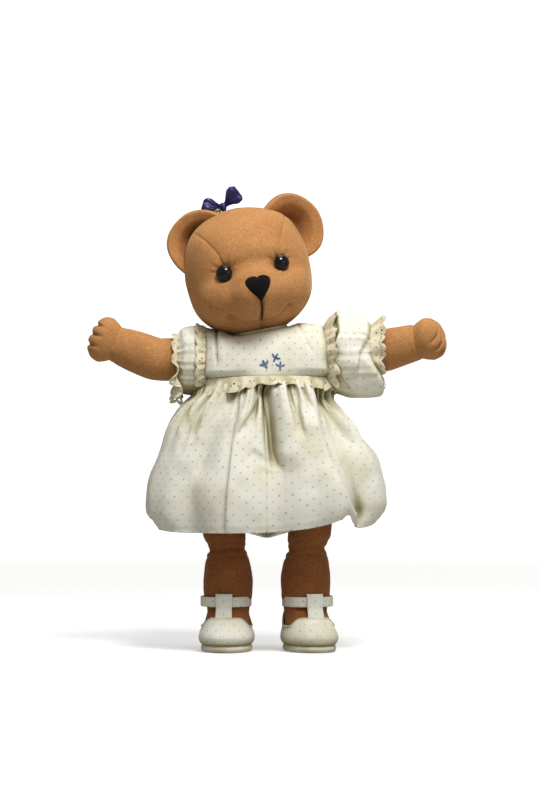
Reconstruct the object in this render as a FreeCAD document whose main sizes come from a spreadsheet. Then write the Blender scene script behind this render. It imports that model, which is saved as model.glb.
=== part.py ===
"""Jointed teddy bear in a cotton dress: a parametric FreeCAD document, one sub-part per physical piece.

Millimetres. +Z is up, the bear faces -Y and its left side is +X. The origin is on the ground, midway
between the shoes. Limbs and head turn on classic board joints: a board and a washer each side of the
two fabric walls, held by a cotter pin whose ends are curled over the washer inside the torso.
"""
import FreeCAD
import Part
import Sketcher
import math
import os
import re

SIZES = [
    # name, value, meaning
    ("skin", 1.0, "thickness of the pile fabric"),
    ("fill_gap", 0.2, "gap between a fabric wall and the stuffing behind it"),
    ("seat_gap", 0.4, "gap between the two fabric walls of a joint"),
    ("soft_gap", 0.5, "clearance between soft neighbours"),
    ("press_gap", 0.1, "gap under a piece that is sewn or glued down"),
    ("cloth", 1.2, "thickness of the dress cotton with its lining"),
    ("reach", 200, "size of the blocks that trim a shape"),
    # joints
    ("pin_radius", 1.2, "cotter pin shaft"),
    ("pin_fit", 0.05, "running clearance of the pin in boards and washers"),
    ("pin_hole_gap", 0.6, "clearance of the pin in the fabric walls"),
    ("turn_gap", 0.1, "end play between the pin's curls and the washer they turn on"),
    ("curl_radius", 2.3, "centre line radius of the pin's curls and eye"),
    ("wire_radius", 0.8, "half thickness of the pin's wire"),
    ("board", 3.0, "thickness of a joint board"),
    ("washer", 1.0, "thickness of a joint washer"),
    ("washer_radius", 7.0, "joint washer"),
    ("shoulder_board_radius", 14, "boards of the shoulder joints"),
    ("hip_board_radius", 19, "boards of the hip joints"),
    ("neck_board_radius", 16, "boards of the neck joint"),
    ("neck_x", -6, "neck joint, towards the bear's right"),
    ("neck_height", 292, "neck joint above the ground"),
    ("neck_tilt", 11, "lean of the neck axis towards the bear's right, degrees"),
    ("head_yaw", 6.5, "turn of the head towards the bear's left, degrees"),
    ("shoulder_half", 46, "seat of each shoulder joint, from the middle"),
    ("left_shoulder_height", 278, "axis of the left shoulder"),
    ("right_shoulder_height", 271, "axis of the right shoulder"),
    ("hip_half", 22, "seat of each hip joint, from the middle"),
    ("hip_height", 150, "axis of the hips"),
    # torso
    ("chest_x", 48, "chest half width"),
    ("chest_y", 36, "chest half depth"),
    ("chest_z", 58, "chest half height"),
    ("chest_height", 232, "chest centre"),
    ("belly_x", 52, "belly half width"),
    ("belly_y", 42, "belly half depth"),
    ("belly_z", 50, "belly half height"),
    ("belly_height", 212, "belly centre"),
    ("rump_gap", 3, "flat underside of the belly above the turning thighs"),
    ("rump_radius", 28, "rounded block between the hip seats"),
    ("shoulder_radius", 18.5, "shoulder stubs of the torso"),
    ("shoulder_root", 24, "inner end of the shoulder stubs, from the middle"),
    ("neck_radius", 22, "neck stub of the torso"),
    ("neck_length", 40, "neck stub of the torso, down into the chest"),
    # head
    ("head_rise", 62, "head centre above the neck joint"),
    ("cranium_x", 58.5, "head half width"),
    ("cranium_y", 54, "head half depth"),
    ("cranium_z", 60, "head half height"),
    ("jowl_x", 54, "cheeks half width"),
    ("jowl_y", 50, "cheeks half depth"),
    ("jowl_z", 38, "cheeks half height"),
    ("jowl_drop", 22, "cheeks below the head centre"),
    ("muzzle_x", 30, "muzzle half width"),
    ("muzzle_y", 34, "muzzle half depth"),
    ("muzzle_z", 27, "muzzle half height"),
    ("muzzle_drop", 20, "muzzle below the head centre"),
    ("muzzle_front", 38, "muzzle centre in front of the head centre"),
    ("throat_radius", 19, "flat seat under the head"),
    ("throat_length", 14, "seat column up into the head"),
    ("ear_radius", 30, "ear disc"),
    ("ear_half", 8, "ear half thickness"),
    ("ear_x", 44, "ear centre from the middle"),
    ("ear_y", 6, "ear centre behind the head centre"),
    ("ear_z", 36, "ear centre above the head centre"),
    ("ear_turn", 12, "turn of each ear, degrees"),
    ("eye_x", 27.4, "eye from the middle"),
    ("eye_y", 47.7, "eye in front of the head centre"),
    ("eye_z", 0.6, "eye above the head centre"),
    ("eye_turn", 26, "outward turn of each eye, degrees"),
    ("eye_ball", 8.5, "sphere radius of the eye's dome"),
    ("eye_sink", 3.5, "sphere centre below the fabric"),
    ("eye_stem_radius", 2.2, "eye stem"),
    ("eye_stem_length", 12, "eye stem"),
    ("eye_washer_radius", 6.5, "lock washer of an eye"),
    ("eye_washer", 1.5, "lock washer thickness"),
    ("eye_washer_depth", 1.6, "lock washer below the outside of the fabric"),
    ("nose_lobe", 6.6, "radius of the two lobes of the heart-shaped nose"),
    ("nose_lobe_x", 5.4, "lobe centre from the middle"),
    ("nose_lobe_z", -10.4, "lobe centre from the head centre"),
    ("nose_tip_z", -31, "lower point of the nose from the head centre"),
    ("nose_thick", 2.4, "nose padding"),
    ("mouth_low", -47, "lower end of the mouth stitch from the head centre"),
    ("mouth_width", 1.5, "mouth stitch"),
    ("stitch_thick", 0.8, "thread height"),
    ("bow_x", -9, "bow knot from the middle of the head"),
    ("bow_y", 8, "bow knot behind the head centre"),
    ("bow_z", 63, "bow knot above the head centre"),
    ("knot_radius", 4.2, "knot"),
    ("bow_left_lift", 40, "rise of the left loop, degrees"),
    ("bow_right_lift", 8, "rise of the right loop, degrees"),
    ("loop_x", 9.5, "ribbon loop half length"),
    ("loop_z", 5.5, "ribbon loop half height"),
    ("loop_y", 5.5, "half width of the ribbon"),
    ("ribbon", 0.8, "ribbon thickness"),
    # arms, measured along the shoulder axis from the middle of the bear
    ("arm_radius", 19.8, "upper arm"),
    ("elbow_x", 103, "elbow"),
    ("elbow_radius", 20.3, "rounding of the elbow"),
    ("elbow_bend", 21, "bend of the forearm, degrees"),
    ("forearm_length", 42, "elbow to wrist"),
    ("wrist_radius", 17, "wrist"),
    ("fist_reach", 51, "elbow to the middle of the fist"),
    ("fist_x", 15, "fist half length"),
    ("fist_y", 18, "fist half depth"),
    ("fist_z", 22, "fist half height"),
    ("left_arm_roll", 50, "left forearm turned forward from upright, degrees"),
    ("right_arm_roll", 0, "right forearm turned forward from upright, degrees"),
    # legs
    ("hip_radius", 24, "round top of the leg"),
    ("hip_length", 37, "round top of the leg, outward from its seat"),
    ("thigh_half", 43, "thigh centre from the middle"),
    ("thigh_x", 19.4, "thigh half width"),
    ("thigh_y", 23, "thigh half depth"),
    ("thigh_height", 124, "widest part of the thigh"),
    ("knee_half", 39, "knee centre from the middle"),
    ("knee_radius", 16, "crease at the knee"),
    ("knee_height", 95, "crease at the knee"),
    ("calf_half", 38, "calf centre from the middle"),
    ("calf_radius", 21.5, "calf"),
    ("calf_height", 64, "widest part of the calf"),
    ("ankle_half", 36.5, "ankle from the middle"),
    ("left_toe_out", 16, "left foot turned out, degrees"),
    ("right_toe_out", 4, "right foot turned out, degrees"),
    ("foot_x", 21.5, "foot half width"),
    ("foot_y", 34, "foot half length"),
    ("foot_front", 11, "foot centre in front of the ankle"),
    ("foot_height", 17, "foot section above the toes' fullest part"),
    ("instep_x", 19, "instep half width"),
    ("instep_y", 24.5, "instep half length"),
    ("instep_front", 4, "instep centre in front of the ankle"),
    ("instep_height", 30, "instep section"),
    # shoes
    ("sole", 7, "padded sole"),
    ("sole_edge", 2, "rounded edge of the sole"),
    ("heel_radius", 22.5, "heel end of the sole"),
    ("heel_back", 3.5, "heel centre behind the ankle"),
    ("toe_radius", 25, "toe end of the sole"),
    ("toe_front", 24, "toe centre in front of the ankle"),
    ("shoe_wall", 1.3, "shoe cloth"),
    ("shoe_mouth", 21.2, "opening of the shoe"),
    ("shoe_top", 33, "upper edge of the toe cap"),
    ("heel_cup", 17, "lowest edge of the shoe's opening"),
    ("strap_low", 41, "lower edge of the ankle strap"),
    ("strap_width", 10, "ankle strap"),
    ("strap_radius", 22.4, "inside of the ankle strap"),
    ("tab_width", 16, "tab over the strap"),
    ("tab_top", 54, "upper edge of the tab"),
    # dress
    ("yoke_x", 62, "yoke half width"),
    ("yoke_y", 45, "yoke half depth"),
    ("yoke_z", 62, "yoke half height"),
    ("yoke_low", 240, "lowest section of the yoke's shape, under its seam"),
    ("yoke_rise", 48, "lowest to highest section of the yoke's shape"),
    ("waist_height", 247, "seam between yoke and skirt"),
    ("collar_radius", 25.2, "collar of the yoke"),
    ("collar_drop", 2, "collar edge below the neck joint"),
    ("binding_radius", 1.3, "neck binding"),
    ("sleeve_end", 22.4, "sleeve radius at both ends"),
    ("sleeve_start", 44, "armhole end of each sleeve, from the middle"),
    ("left_sleeve_half", 27, "left sleeve half length"),
    ("right_sleeve_half", 22, "right sleeve half length"),
    ("left_sleeve_puff", 38, "left sleeve radius"),
    ("right_sleeve_puff", 31.5, "right sleeve radius"),
    ("lace", 1.0, "lace thickness"),
    ("cuff_lace_width", 11, "lace at a sleeve end"),
    ("cuff_lace_flare", 6, "how far the cuff lace flares"),
    ("waist_lace_width", 10, "lace hanging over the waist seam"),
    ("waist_lace_flare", 4, "how far the waist lace stands out"),
    ("waist_lace_half", 48, "the waist lace stops under the arms"),
    ("button_radius", 5, "back buttons"),
    ("button_thick", 1.8, "back buttons"),
    ("button_height", 255, "lowest back button"),
    ("button_pitch", 12, "spacing of the back buttons"),
    ("skirt_top_drop", 9, "gathered band of the skirt"),
    ("skirt_hip_height", 205, "skirt section"),
    ("skirt_hip_x", 86, "skirt section"),
    ("skirt_hip_y", 58, "skirt section"),
    ("skirt_full_height", 138, "widest skirt section"),
    ("skirt_full_x", 110, "widest skirt section"),
    ("skirt_full_y", 73, "widest skirt section"),
    ("hem_height", 113, "hem"),
    ("hem_x", 104, "hem"),
    ("hem_y", 70, "hem"),
    ("fold_count", 8, "soft folds round the skirt"),
    ("fold_steps", 8, "points that shape one fold"),
    ("fold_depth", 4.5, "half the height from a fold's valley to its ridge"),
    ("fold_pinch", 0.25, "how much narrower the valleys are than the ridges"),
    ("fold_turn", 4, "turn of the first valley from the front, degrees"),
    ("bloomer_x", 73, "bloomers half width"),
    ("bloomer_y", 51, "bloomers half depth"),
    ("bloomer_z", 60, "bloomers half height"),
    ("bloomer_rise", 15, "bloomers centre above the hips"),
    ("bloomer_top_rise", 47, "upper edge of the bloomers above the hips"),
    ("bloomer_band", 5, "elastic band of the bloomers"),
    ("leg_hole_gap", 7, "leg holes of the bloomers round the leg's top"),
    ("leg_hole_rise", 3, "top of the leg holes above the hips"),
]
SIDES = (("left", 1), ("right", -1))

doc = FreeCAD.newDocument("jointed_bear")
sheet = doc.addObject("Spreadsheet::Sheet", "sizes")
for row, (alias, value, meaning) in enumerate(SIZES, start=1):
    sheet.set(f"A{row}", meaning)
    sheet.set(f"B{row}", str(value))
    sheet.setAlias(f"B{row}", alias)
doc.recompute()
ALIASES = {alias for alias, value, meaning in SIZES}
nodes = {}


def formula(text):
    """Turns plain size names into references to the sheet's cells."""
    return re.sub(r"[a-z_]+", lambda found: "sizes." + found[0] if found[0] in ALIASES else found[0], text)


def bind(thing, **texts):
    for name, text in texts.items():
        thing.setExpression(name, formula(text))
    return thing


def at(x="0", y="0", z="0", axis="0; 0; 1", turn="0"):
    return f"placement(vector({x}; {y}; {z}); rotation(vector({axis}); {turn}))"


def primitive(kind, name, frame, **texts):
    return bind(doc.addObject(kind, name), Placement=frame, **texts)


def ellipsoid(name, radii, frame, pole="z"):
    """An ellipsoid whose surface seam ends on the pole axis. Joined ones have different poles."""
    along_x, along_y, along_z = radii
    if pole == "x":
        place = f"{frame} * {at(axis='0; 1; 0', turn='90')}"
        return primitive("Part::Ellipsoid", name, place, Radius1=along_x, Radius2=along_z, Radius3=along_y)
    if pole == "y":
        place = f"{frame} * {at(axis='1; 0; 0', turn='-90')}"
        return primitive("Part::Ellipsoid", name, place, Radius1=along_y, Radius2=along_x, Radius3=along_z)
    return primitive("Part::Ellipsoid", name, frame, Radius1=along_z, Radius2=along_x, Radius3=along_y)


def cylinder(name, radius, length, frame):
    return primitive("Part::Cylinder", name, frame, Radius=radius, Height=length)


def block(name, low, high, frame=at()):
    size = [f"({top}) - ({bottom})" for bottom, top in zip(low, high)]
    corner = f"{frame} * {at(*low)}"
    return primitive("Part::Box", name, corner, Length=size[0], Width=size[1], Height=size[2])


def fuse(name, shapes):
    whole = doc.addObject("Part::MultiFuse", name)
    whole.Shapes = shapes
    return whole


def common(name, shapes):
    shared = doc.addObject("Part::MultiCommon", name)
    shared.Shapes = shapes
    return shared


def cut(name, base, *tools):
    result = doc.addObject("Part::Cut", name)
    result.Base = base
    result.Tool = tools[0] if len(tools) == 1 else fuse(name + "_tools", list(tools))
    return result


def loft(name, rims):
    solid = doc.addObject("Part::Loft", name)
    solid.Sections = rims
    solid.Solid = True
    return solid


def compound(name, shapes):
    group = doc.addObject("Part::Compound", name)
    group.Links = shapes
    return group


def node(thing):
    nodes[thing.Label] = thing
    return thing


# Frames. A joint's frame has its Z axis on the joint's axis, from the torso's seat towards the limb.
NECK = at("neck_x", "0", "neck_height", "0; 1; 0", "-neck_tilt")
HEAD = f"{NECK} * {at(z='head_rise', turn='head_yaw')}"


def shoulder_frame(side, sign):
    return at(f"{sign} * shoulder_half", "0", f"{side}_shoulder_height", "0; 1; 0", f"{sign} * 90")


def hip_frame(sign):
    return at(f"{sign} * hip_half", "0", "hip_height", "0; 1; 0", f"{sign} * 90")


def arm_frame(side, sign):
    """X runs along the upper arm from the middle of the bear, and the elbow bends towards Z."""
    roll = at("0", "0", f"{side}_shoulder_height", "1; 0; 0", f"{side}_arm_roll")
    return roll if sign > 0 else f"{roll} * {at(turn='180')}"


def foot_frame(side, sign):
    return at(f"{sign} * ankle_half", "0", "0", "0; 0; 1", f"{sign} * {side}_toe_out")


# Board joints
LIMB_WALL = "seat_gap + skin"
WASHER_LOW = "-(skin + board + washer)"
LIMB_TOP = "seat_gap + skin + board + washer"
TAIL = "-(skin + board + washer + turn_gap + curl_radius + wire_radius)"
EYE = "seat_gap + skin + board + washer + curl_radius + wire_radius"


def ring(name, radius, low, thick, frame):
    place = f"{frame} * {at(z=low)}"
    solid = cylinder(name + "_disc", radius, thick, place)
    bore = cylinder(name + "_bore", "pin_radius + pin_fit", thick, place)
    return cut(name, solid, bore)


def body_board(name, radius, frame):
    return ring(name, radius, "-(skin + board)", "board", frame)


def body_washer(name, frame):
    return ring(name, "washer_radius", WASHER_LOW, "washer", frame)


def wire_loop(name, y, z, frame):
    place = f"{frame} * {at('0', y, z, '0; 1; 0', '90')}"
    return primitive("Part::Torus", name, place, Radius1="curl_radius", Radius2="wire_radius")


def limb_hardware(limb, radius, frame):
    """Board, washer and cotter pin that turn with the limb."""
    node(ring(f"{limb}_board", radius, LIMB_WALL, "board", frame))
    node(ring(f"{limb}_washer", "washer_radius", f"{LIMB_WALL} + board", "washer", frame))
    shaft = cylinder(f"{limb}_shaft", "pin_radius", f"{EYE} - curl_radius - ({TAIL})",
                     f"{frame} * {at(z=TAIL)}")
    eye = wire_loop(f"{limb}_eye", "0", EYE, frame)
    curls = [wire_loop(f"{limb}_curl_{end}", f"{way} * (curl_radius + wire_radius / 4)", TAIL, frame)
             for end, way in SIDES]
    node(fuse(f"{limb}_cotter_pin", [shaft, eye, *curls]))


def pin_hole(name, frame):
    return cylinder(name, "pin_radius + pin_hole_gap", "2 * throat_radius",
                    f"{frame} * {at(z='-throat_radius')}")


def body_hollow(name, radius, frame):
    """Room in the torso's stuffing for a board, a washer and the turning curls."""
    wide = cylinder(name + "_wide", f"{radius} + soft_gap", "board + washer + skin + soft_gap",
                    f"{frame} * {at(z=WASHER_LOW + ' - soft_gap')}")
    deep = "2 * (curl_radius + wire_radius) + turn_gap + soft_gap"
    narrow = cylinder(name + "_narrow", "2 * curl_radius + wire_radius + soft_gap", f"{deep} + washer",
                      f"{frame} * {at(z=f'{WASHER_LOW} - ({deep})')}")
    return fuse(name, [wide, narrow])


def limb_hollow(name, radius, frame):
    """Room in a limb's stuffing for its board, washer and the eye of the pin."""
    wide = cylinder(name + "_wide", f"{radius} + soft_gap", f"{LIMB_TOP} + soft_gap", frame)
    narrow = cylinder(name + "_narrow", "curl_radius + wire_radius + soft_gap",
                      f"{EYE} + curl_radius + wire_radius + soft_gap", frame)
    return fuse(name, [wide, narrow])


def sack(name, shape, hollows, holes):
    """A fabric skin and the stuffing in it. shape(name, inset) makes the outline, inset by a formula."""
    skin = cut(f"{name}_skin_wall", shape(f"{name}_outside", "0"), shape(f"{name}_inside", "skin"))
    node(cut(f"{name}_skin", skin, *holes))
    fill = shape(f"{name}_fill", "(skin + fill_gap)")
    node(cut(f"{name}_stuffing", fill, *hollows))


# Torso
def inset_sizes(shape, inset):
    return [f"{shape}_{axis} - {inset}" for axis in "xyz"]


def torso_shape(name, inset):
    chest = ellipsoid(f"{name}_chest", inset_sizes("chest", inset), at(z="chest_height"), "y")
    belly = ellipsoid(f"{name}_belly", inset_sizes("belly", inset), at(z="belly_height"), "x")
    trunk = cut(f"{name}_trunk", fuse(f"{name}_round", [chest, belly]),
                block(f"{name}_under", ("-reach", "-reach", "0"),
                      ("reach", "reach", f"hip_height + hip_radius + rump_gap + {inset}")))
    width = f"hip_half - {inset}"
    parts = []
    parts.append(cylinder(f"{name}_rump", f"rump_radius - {inset}", f"2 * ({width})",
                          at(f"-({width})", "0", "hip_height", "0; 1; 0", "90")))
    parts.append(block(f"{name}_loin", (f"-({width})", f"-(hip_radius - {inset})", "hip_height"),
                       (width, f"hip_radius - {inset}", "belly_height")))
    for side, sign in SIDES:
        place = at(f"{sign} * shoulder_root", "0", f"{side}_shoulder_height", "0; 1; 0", f"{sign} * 90")
        parts.append(cylinder(f"{name}_{side}_shoulder", f"shoulder_radius - {inset}",
                              f"shoulder_half - shoulder_root - {inset}", place))
    room = cylinder(f"{name}_collar_room", f"collar_radius + 2 * binding_radius + {inset}", "reach",
                    f"{NECK} * {at(z=f'-(collar_drop + press_gap + {inset})')}")
    neck = cylinder(f"{name}_neck", f"neck_radius - {inset}", f"neck_length - {inset}",
                    f"{NECK} * {at(z='-neck_length')}")
    return fuse(name, [cut(f"{name}_body", fuse(f"{name}_trunk_and_shoulders", [trunk, *parts]), room), neck])


def torso():
    joints = [("neck", "neck_board_radius", NECK)]
    for side, sign in SIDES:
        joints.append((f"{side}_shoulder", "shoulder_board_radius", shoulder_frame(side, sign)))
        joints.append((f"{side}_hip", "hip_board_radius", hip_frame(sign)))
    hollows = [body_hollow(f"torso_{name}_hollow", radius, frame) for name, radius, frame in joints]
    holes = [pin_hole(f"torso_{name}_hole", frame) for name, radius, frame in joints]
    sack("torso", torso_shape, hollows, holes)
    boards = {name: body_board(f"{name}_body_ring", radius, frame) for name, radius, frame in joints}
    node(compound("neck_body_board", [boards["neck"]]))
    node(compound("shoulder_body_boards", [boards["left_shoulder"], boards["right_shoulder"]]))
    node(compound("hip_body_boards", [boards["left_hip"], boards["right_hip"]]))
    washers = [body_washer(f"{name}_body_washer", frame) for name, radius, frame in joints]
    node(compound("joint_body_washers", washers))


# Head, in a frame whose origin is the middle of the head
def muzzle_solid(name, grow):
    return ellipsoid(name, [f"muzzle_{axis} + {grow}" for axis in "xyz"],
                     f"{HEAD} * {at('0', '-muzzle_front', '-muzzle_drop')}", "y")


def cranium_solid(name, grow):
    return ellipsoid(name, [f"cranium_{axis} + {grow}" for axis in "xyz"], HEAD)


def head_shape(name, inset):
    cranium = cranium_solid(f"{name}_cranium", f"(-{inset})")
    muzzle = muzzle_solid(f"{name}_muzzle", f"(-{inset})")
    jowl = ellipsoid(f"{name}_jowl", inset_sizes("jowl", inset), f"{HEAD} * {at(z='-jowl_drop')}", "x")
    throat = cylinder(f"{name}_throat", f"throat_radius - {inset}", f"throat_length - {inset}",
                      f"{NECK} * {at(z=f'seat_gap + {inset}')}")
    return fuse(name, [cranium, jowl, muzzle, throat])


def eye_frame(sign):
    place = at(f"{sign} * eye_x", "-eye_y", "eye_z", "0; 0; 1", f"{sign} * eye_turn")
    return f"{HEAD} * {place} * {at(axis='1; 0; 0', turn='90')}"


def eyes():
    washers = []
    for side, sign in SIDES:
        frame = eye_frame(sign)
        ball = primitive("Part::Sphere", f"{side}_eye_ball", f"{frame} * {at(z='-eye_sink')}",
                         Radius="eye_ball")
        dome = cut(f"{side}_eye_dome", ball, cranium_solid(f"{side}_eye_seat", "press_gap"))
        stem = cylinder(f"{side}_eye_stem", "eye_stem_radius", "eye_stem_length + skin",
                        f"{frame} * {at(z='-eye_stem_length')}")
        node(fuse(f"{side}_eye", [dome, stem]))
        place = f"{frame} * {at(z='-(eye_washer_depth + eye_washer)')}"
        disc = cylinder(f"{side}_eye_washer_disc", "eye_washer_radius", "eye_washer", place)
        bore = cylinder(f"{side}_eye_washer_bore", "eye_stem_radius + pin_fit", "eye_washer", place)
        washers.append(cut(f"{side}_eye_washer_ring", disc, bore))
    node(compound("eye_washers", washers))


def head():
    hollows = [limb_hollow("head_neck_hollow", "neck_board_radius", NECK)]
    holes = [pin_hole("head_pin_hole", NECK)]
    for side, sign in SIDES:
        frame = eye_frame(sign)
        hollows.append(cylinder(f"{side}_eye_hollow", "eye_washer_radius + soft_gap",
                                "eye_stem_length + soft_gap + skin",
                                f"{frame} * {at(z='-(eye_stem_length + soft_gap)')}"))
        holes.append(cylinder(f"{side}_eye_hole", "eye_stem_radius + press_gap", "eye_stem_length",
                              f"{frame} * {at(z='-eye_stem_length / 2')}"))
    sack("head", head_shape, hollows, holes)
    limb_hardware("neck", "neck_board_radius", NECK)
    eyes()
    for side, sign in SIDES:
        place = at(f"{sign} * ear_x", "ear_y", "ear_z", "0; 0; 1", f"{sign} * ear_turn")
        disc = ellipsoid(f"{side}_ear_disc", ("ear_radius", "ear_half", "ear_radius"), f"{HEAD} * {place}")
        node(cut(f"{side}_ear", disc, cranium_solid(f"{side}_ear_seat", "press_gap")))


def face():
    body = doc.addObject("PartDesign::Body", "nose_heart")
    sketch = body.newObject("Sketcher::SketchObject", "nose_outline")
    plane = next(item for item in body.Origin.OriginFeatures if item.Role == "XZ_Plane")
    sketch.AttachmentSupport = [(plane, "")]
    sketch.MapMode = "FlatFace"
    lobe, lobe_x = sheet.nose_lobe, sheet.nose_lobe_x
    lobe_z, tip_z = sheet.nose_lobe_z, sheet.nose_tip_z
    right = FreeCAD.Vector(lobe_x, lobe_z, 0)
    left = FreeCAD.Vector(-lobe_x, lobe_z, 0)
    tip = FreeCAD.Vector(0, tip_z, 0)
    up = FreeCAD.Vector(0, 0, 1)
    side_x = lobe_x + lobe
    arcs = [(right, -0.4, 2.5), (left, 0.6, 3.54)]
    rounds = [sketch.addGeometry(Part.ArcOfCircle(Part.Circle(middle, up, lobe), low, high))
              for middle, low, high in arcs]
    lines = [
        sketch.addGeometry(Part.LineSegment(tip, FreeCAD.Vector(side_x, lobe_z - lobe / 2, 0))),
        sketch.addGeometry(Part.LineSegment(FreeCAD.Vector(-side_x, lobe_z - lobe / 2, 0), tip)),
    ]
    start, end, middle = 1, 2, 3
    across, upright = -1, -2
    sketch.addConstraint([
        Sketcher.Constraint("Tangent", lines[0], end, rounds[0], start),
        Sketcher.Constraint("Coincident", rounds[0], end, rounds[1], start),
        Sketcher.Constraint("Tangent", rounds[1], end, lines[1], start),
        Sketcher.Constraint("Coincident", lines[1], end, lines[0], start),
        Sketcher.Constraint("PointOnObject", lines[0], start, upright),
        Sketcher.Constraint("Symmetric", rounds[0], middle, rounds[1], middle, upright),
        Sketcher.Constraint("Equal", rounds[0], rounds[1]),
    ])
    for kind, geometry, text in (
        ("Radius", (rounds[0], lobe), "nose_lobe"),
        ("DistanceX", (across, start, rounds[0], middle, lobe_x), "nose_lobe_x"),
        ("DistanceY", (rounds[0], middle, across, start, -lobe_z), "-nose_lobe_z"),
        ("DistanceY", (lines[0], start, across, start, -tip_z), "-nose_tip_z"),
    ):
        index = sketch.addConstraint(Sketcher.Constraint(kind, *geometry))
        bind(sketch, **{f"Constraints[{index}]": text})
    pad = body.newObject("PartDesign::Pad", "nose_pad")
    pad.Profile = sketch
    bind(pad, Length="2 * muzzle_y")
    bind(body, Placement=f"{HEAD} * {at('0', '-muzzle_front')}")
    felt = cut("nose_shell", muzzle_solid("nose_front", "nose_thick"), muzzle_solid("nose_seat", "press_gap"))
    node(common("nose", [body, felt]))
    thread = cut("mouth_shell", muzzle_solid("mouth_front", "stitch_thick"),
                 muzzle_solid("mouth_seat", "press_gap"))
    line = block("mouth_line", ("-mouth_width / 2", "-(2 * muzzle_y + muzzle_front)", "mouth_low"),
                 ("mouth_width / 2", "-muzzle_front", "nose_tip_z - press_gap"), HEAD)
    node(common("mouth_stitch", [thread, line]))


def bow():
    knot_place = f"{HEAD} * {at('bow_x', 'bow_y', 'bow_z')}"
    node(primitive("Part::Sphere", "bow_knot", knot_place, Radius="knot_radius"))
    seat = primitive("Part::Sphere", "bow_seat", knot_place, Radius="knot_radius + press_gap")
    loops = []
    for side, sign in SIDES:
        place = (f"{knot_place} * {at(axis='0; 1; 0', turn=f'-{sign} * bow_{side}_lift')}"
                 f" * {at(f'{sign} * (loop_x + knot_radius / 2)', 'loop_y', '0', '1; 0; 0', '90')}")
        layers = []
        for layer, inset in (("outer", "0"), ("inner", "ribbon")):
            rim = primitive("Part::Ellipse", f"bow_{side}_{layer}_rim", at(), MajorRadius=f"loop_x - {inset}",
                            MinorRadius=f"loop_z - {inset}")
            band = doc.addObject("Part::Extrusion", f"bow_{side}_{layer}")
            band.Base = rim
            band.Dir = (0, 0, 1)
            band.Solid = True
            layers.append(bind(band, LengthFwd="2 * loop_y", Placement=place))
        loops.append(cut(f"bow_{side}_loop", layers[0], layers[1], seat))
    node(compound("bow_loops", loops))
    scrap = block("lace_strip", ("bow_x - 3 * loop_x / 2", "bow_y + loop_y", "bow_z - 3 * loop_z"),
                  ("bow_x", "bow_y + loop_y + ribbon", "bow_z"), HEAD)
    node(cut("bow_lace", scrap, cranium_solid("lace_seat", "press_gap")))


# Arms
def arm(side, sign):
    frame = arm_frame(side, sign)
    joint = shoulder_frame(side, sign)
    bend = f"{frame} * {at('elbow_x', '0', '0', '0; 1; 0', '-elbow_bend')}"

    def shape(name, inset):
        first = f"shoulder_half + seat_gap + {inset}"
        upper = cylinder(f"{name}_upper", f"arm_radius - {inset}", f"elbow_x - ({first})",
                         f"{frame} * {at(first, '0', '0', '0; 1; 0', '90')}")
        elbow = primitive("Part::Sphere", f"{name}_elbow", bend, Radius=f"elbow_radius - {inset}")
        fore = primitive("Part::Cone", f"{name}_fore", f"{bend} * {at(axis='0; 1; 0', turn='90')}",
                         Radius1=f"arm_radius - {inset}", Radius2=f"wrist_radius - {inset}",
                         Height=f"forearm_length - {inset}")
        fist = ellipsoid(f"{name}_fist", inset_sizes("fist", inset), f"{bend} * {at('fist_reach')}")
        return fuse(name, [upper, elbow, fore, fist])

    name = f"{side}_arm"
    sack(name, shape, [limb_hollow(f"{name}_hollow", "shoulder_board_radius", joint)],
         [pin_hole(f"{name}_hole", joint)])
    limb_hardware(name, "shoulder_board_radius", joint)


# Legs and shoes
def rims(name, sections, grow):
    return loft(name, [
        primitive("Part::Ellipse", f"{name}_rim_{index}", f"{place} * {at(turn='90')}",
                  MajorRadius=f"{half_y} + {grow}", MinorRadius=f"{half_x} + {grow}")
        for index, (place, half_x, half_y) in enumerate(sections)
    ])


def shank(name, side, sign, grow, bottom):
    """The leg from its sole to the hip: a foot, turned out, and a shank, meeting in one rim at the ankle."""
    foot = foot_frame(side, sign)
    ankle = (at(f"{sign} * calf_half", z="strap_low"), "calf_radius - 2 * cloth", "calf_radius - 2 * cloth")
    low = rims(f"{name}_foot", (
        (f"{foot} * {at('0', '-foot_front', bottom)}", "foot_x", "foot_y"),
        (f"{foot} * {at('0', '-foot_front', 'foot_height')}", "foot_x - cloth", "foot_y - 2 * cloth"),
        (f"{foot} * {at('0', '-instep_front', 'instep_height')}", "instep_x", "instep_y"),
        ankle,
    ), grow)
    high = rims(f"{name}_calf", (
        ankle,
        (at(f"{sign} * calf_half", z="calf_height"), "calf_radius - press_gap", "calf_radius"),
        (at(f"{sign} * knee_half", z="knee_height"), "knee_radius", "knee_radius + cloth"),
        (at(f"{sign} * thigh_half", z="thigh_height"), "thigh_x", "thigh_y"),
        (at(f"{sign} * thigh_half", z="hip_height"), "thigh_x - cloth", "thigh_y - 2 * cloth"),
    ), grow)
    return fuse(name, [low, high])


def leg(side, sign):
    joint = hip_frame(sign)

    def shape(name, inset):
        hip = cylinder(f"{name}_hip", f"hip_radius - {inset}", f"hip_length - 2 * {inset}",
                       f"{joint} * {at(z=f'seat_gap + {inset}')}")
        lower = shank(f"{name}_shank", side, sign, f"(-{inset})", f"sole + seat_gap + {inset}")
        return fuse(name, [hip, lower])

    name = f"{side}_leg"
    hollow = limb_hollow(f"{name}_hollow", "hip_board_radius", joint)
    sack(name, shape, [hollow], [pin_hole(f"{name}_hole", joint)])
    limb_hardware(name, "hip_board_radius", joint)
    shoe(side, sign, foot_frame(side, sign))


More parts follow.
